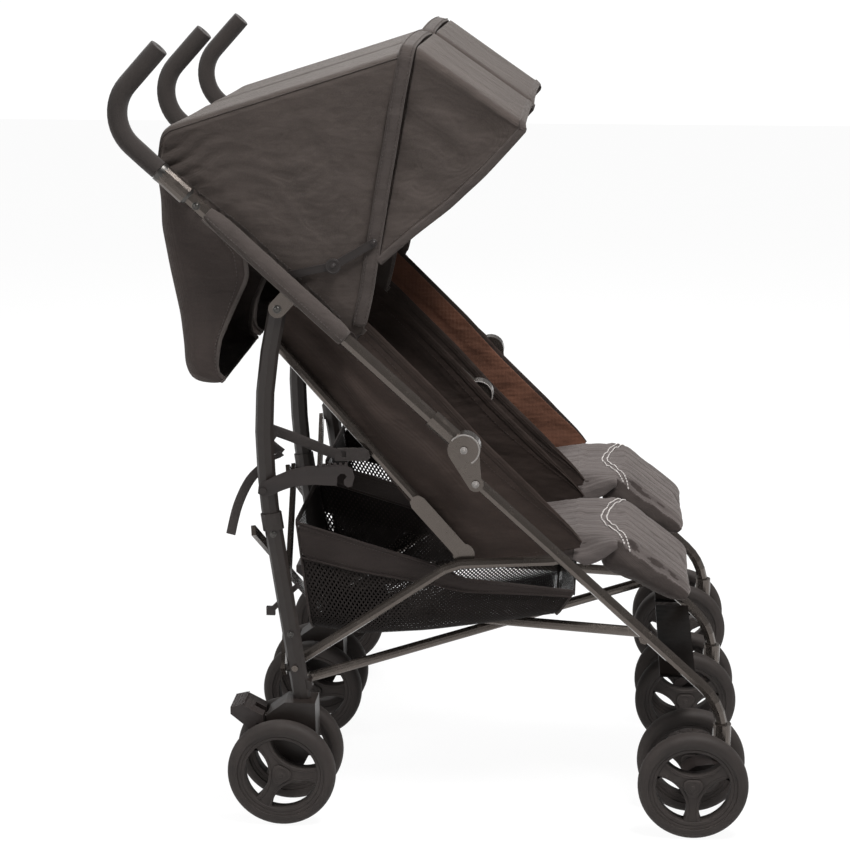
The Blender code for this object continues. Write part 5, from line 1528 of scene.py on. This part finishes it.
for side, (frame_y, sign) in BAYS.items():
    low = frame_y + sign * 0.0098
    high = frame_y + sign * 0.0137
    inside = high - sign * STAY_THICKNESS
    rear_bar = bar_outline(STAY_PIVOT, STAY_KNUCKLE, STAY_WIDTH)
    rear = [
        outline_plate("arm", rear_bar, high, inside, PLASTIC, 0.0005),
        outline_plate("disc", circle(STAY_KNUCKLE, 0.0095, 32), high, inside, PLASTIC, 0.0005),
    ]
    # Pale rims round both stay arms and the front disc: painted highlights along their edges.
    rim = placed(bar_outline(STAY_PIVOT, STAY_KNUCKLE, 0.0094, 8), inside)
    rear.append(sweep("rim", rim + [rim[0]], 0.0010, 0.0008, EDGE_HIGHLIGHT, ACROSS, 6))
    rear = joined(f"stay_rear_arm_{side}", rear)
    inside = low + sign * STAY_THICKNESS
    front = [
        outline_plate("arm", bar_outline(STAY_KNUCKLE, STAY_HOOD, STAY_WIDTH), low, inside, PLASTIC, 0.0005),
        outline_plate("disc", circle(STAY_KNUCKLE, 0.0105, 36), low - sign * 0.0004, inside, PLASTIC, 0.0006),
    ]
    rim = placed(bar_outline(STAY_KNUCKLE, STAY_HOOD, 0.0094, 8), low)
    front.append(sweep("rim", rim + [rim[0]], 0.0010, 0.0008, EDGE_HIGHLIGHT, ACROSS, 6))
    rim = placed(circle(STAY_KNUCKLE, 0.0086, 32), low - sign * 0.0004)
    front.append(sweep("rim", rim + [rim[0]], 0.0010, 0.0010, EDGE_HIGHLIGHT, ACROSS, 6))
    for spot in (STAY_KNUCKLE, STAY_HOOD):
        front.append(rivet(at(spot, low - sign * 0.0002), (0, -sign, 0), 0.0032, 0.0018))
    pin = lathe(
        "pin", [(0.0028, 0.0), (0.0030, 0.0004), (0.0030, 0.0034), (0.0028, 0.0038)], at(STAY_HOOD, low),
        (0, sign, 0), DARK_STEEL, 16,
    )
    front.append(pin)
    front = joined(f"stay_front_arm_{side}", front)
    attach(rear, f"stay_rear_{side}")
    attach(front, f"stay_front_{side}")
    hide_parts(f"hood_stay_rear_{side}")
    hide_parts(f"hood_stay_front_{side}")

# Straps, buckles and ribs

STRAP_Y = -0.309


def webbing(name, spots, width, up, step=0.008):
    """A flat strap through (x, y, z) spots, whose y is measured from the strap's own plane."""
    line = [V(x, STRAP_Y + y, z) for x, y, z in spots]
    return sweep(name, path(line, step), 0.0016, width, WEBBING, Vector(up), 10, 0.5)


strap = [
    (-0.300, 0, 0.546), (-0.271, 0, 0.536), (-0.240, 0.004, 0.523), (-0.205, 0.010, 0.509),
    (-0.172, 0.018, 0.510),
]
tail = [
    (-0.283, 0, 0.512), (-0.304, -0.001, 0.497), (-0.327, 0, 0.474), (-0.345, 0.002, 0.437),
    (-0.356, 0.003, 0.395),
]
buckle = [
    (-0.212, 0.500), (-0.168, 0.501), (-0.164, 0.505), (-0.166, 0.515), (-0.172, 0.519), (-0.208, 0.518),
    (-0.214, 0.513),
]
loop = [(-0.292, 0, 0.543), (-0.300, -0.001, 0.528), (-0.283, 0, 0.512)]
slot = [(-0.203, 0.505), (-0.197, 0.505), (-0.197, 0.514), (-0.203, 0.514)]
straps = joined("back_strap_right", [
    webbing("strap", strap, 0.0150, (0.35, 0, 0.94)),
    outline_plate("buckle", buckle, STRAP_Y + 0.008, STRAP_Y + 0.013, PLASTIC, 0.0012, [slot]),
    webbing("tail", tail, 0.0130, (0.8, 0, 0.6)),
    webbing("loop", loop, 0.0140, (0.8, 0, 0.6), 0.005),
])
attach(straps, "rear_leg_right")

LATCH_TOOTH = (-0.232, 0.467 + 0.0362)
PEDAL_RIB = (-0.3525, 0.1603)
PEDAL_HALF = 0.024

teeth = []
for step in range(6):
    x = LATCH_TOOTH[0] + step * 0.0075
    z = LATCH_TOOTH[1] + 0.0006 * step
    tooth = [(x, z - 0.002), (x + 0.0045, z - 0.002), (x + 0.0040, z + 0.0022), (x + 0.0008, z + 0.0022)]
    teeth.append(outline_plate("tooth", tooth, -SPACING - 0.0143, -SPACING - 0.0108, PLASTIC, 0.0003))
teeth = joined("latch_teeth", teeth)
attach(teeth, "carry_latch")

for side, (frame_y, _) in BAYS.items():
    ribs = []
    for step in range(5):
        x = PEDAL_RIB[0] + step * 0.0042
        z = PEDAL_RIB[1] + step * 0.0011
        line = [V(x, frame_y - PEDAL_HALF, z), V(x, frame_y + PEDAL_HALF, z)]
        ribs.append(sweep("rib", path(line, 0.01), 0.0016, 0.0014, PLASTIC, sides=8))
    ribs = joined(f"pedal_ribs_{side}", ribs)
    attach(ribs, f"brake_pedal_{side}")

# Floor, backdrop and light

WHITE = 1.05

floor_data = bpy.data.meshes.new("floor")
floor_data.from_pydata([(-9, -9, 0), (9, -9, 0), (9, 9, 0), (-9, 9, 0)], [], [(0, 1, 2, 3)])
floor = new_object("floor", floor_data)
paper = Nodes("paper", 0.9)
grain = paper.add("ShaderNodeTexNoise")
grain.inputs["Scale"].default_value = 40.0
paper.colour(paper.spread(grain.outputs["Fac"], 0.0, 1.0, 0.90, 0.94))
rays = paper.add("ShaderNodeLightPath").outputs
seen = paper.math("MAXIMUM", rays["Is Camera Ray"], rays["Is Glossy Ray"])
seen = paper.math("MAXIMUM", seen, rays["Is Transmission Ray"])
glow = paper.add("ShaderNodeEmission")
glow.inputs["Strength"].default_value = WHITE
blend = paper.add("ShaderNodeMixShader")
paper.put(paper.math("MULTIPLY", seen, 0.90), blend.inputs[0])
paper.put(paper.shader.outputs[0], blend.inputs[1])
paper.put(glow.outputs[0], blend.inputs[2])
paper.put(blend.outputs[0], paper.tree.nodes["Material Output"].inputs["Surface"])
floor.data.materials.append(paper.material)

world = bpy.context.scene.world or bpy.data.worlds.new("world")
bpy.context.scene.world = world
world.use_nodes = True
sky = Tree(world.node_tree)
back = sky.tree.nodes["Background"]
back.inputs["Color"].default_value = (1.0, 1.0, 1.0, 1.0)
rays = sky.add("ShaderNodeLightPath").outputs
seen = sky.math("MAXIMUM", rays["Is Camera Ray"], rays["Is Transmission Ray"])
sky.put(sky.spread(seen, 0.0, 1.0, 0.20, WHITE), back.inputs["Strength"])

LAMP_AIM = Vector((0.0, 0.0, 0.45))
LAMPS = {
    "key": ((0.9, -1.0, 3.1), 1.1, 125),
    "fill": ((-2.6, -1.6, 1.5), 1.4, 34),
    "rim": ((-0.4, 2.2, 2.6), 1.6, 80),
}
for name, (place, size, power) in LAMPS.items():
    data = bpy.data.lights.new(name, "AREA")
    data.shape = "DISK"
    data.size = size
    data.energy = power
    lamp = bpy.data.objects.new(name, data)
    bpy.context.scene.collection.objects.link(lamp)
    lamp.location = place
    lamp.rotation_euler = (LAMP_AIM - Vector(place)).to_track_quat("-Z", "Y").to_euler()

bpy.context.scene.view_settings.view_transform = "Standard"
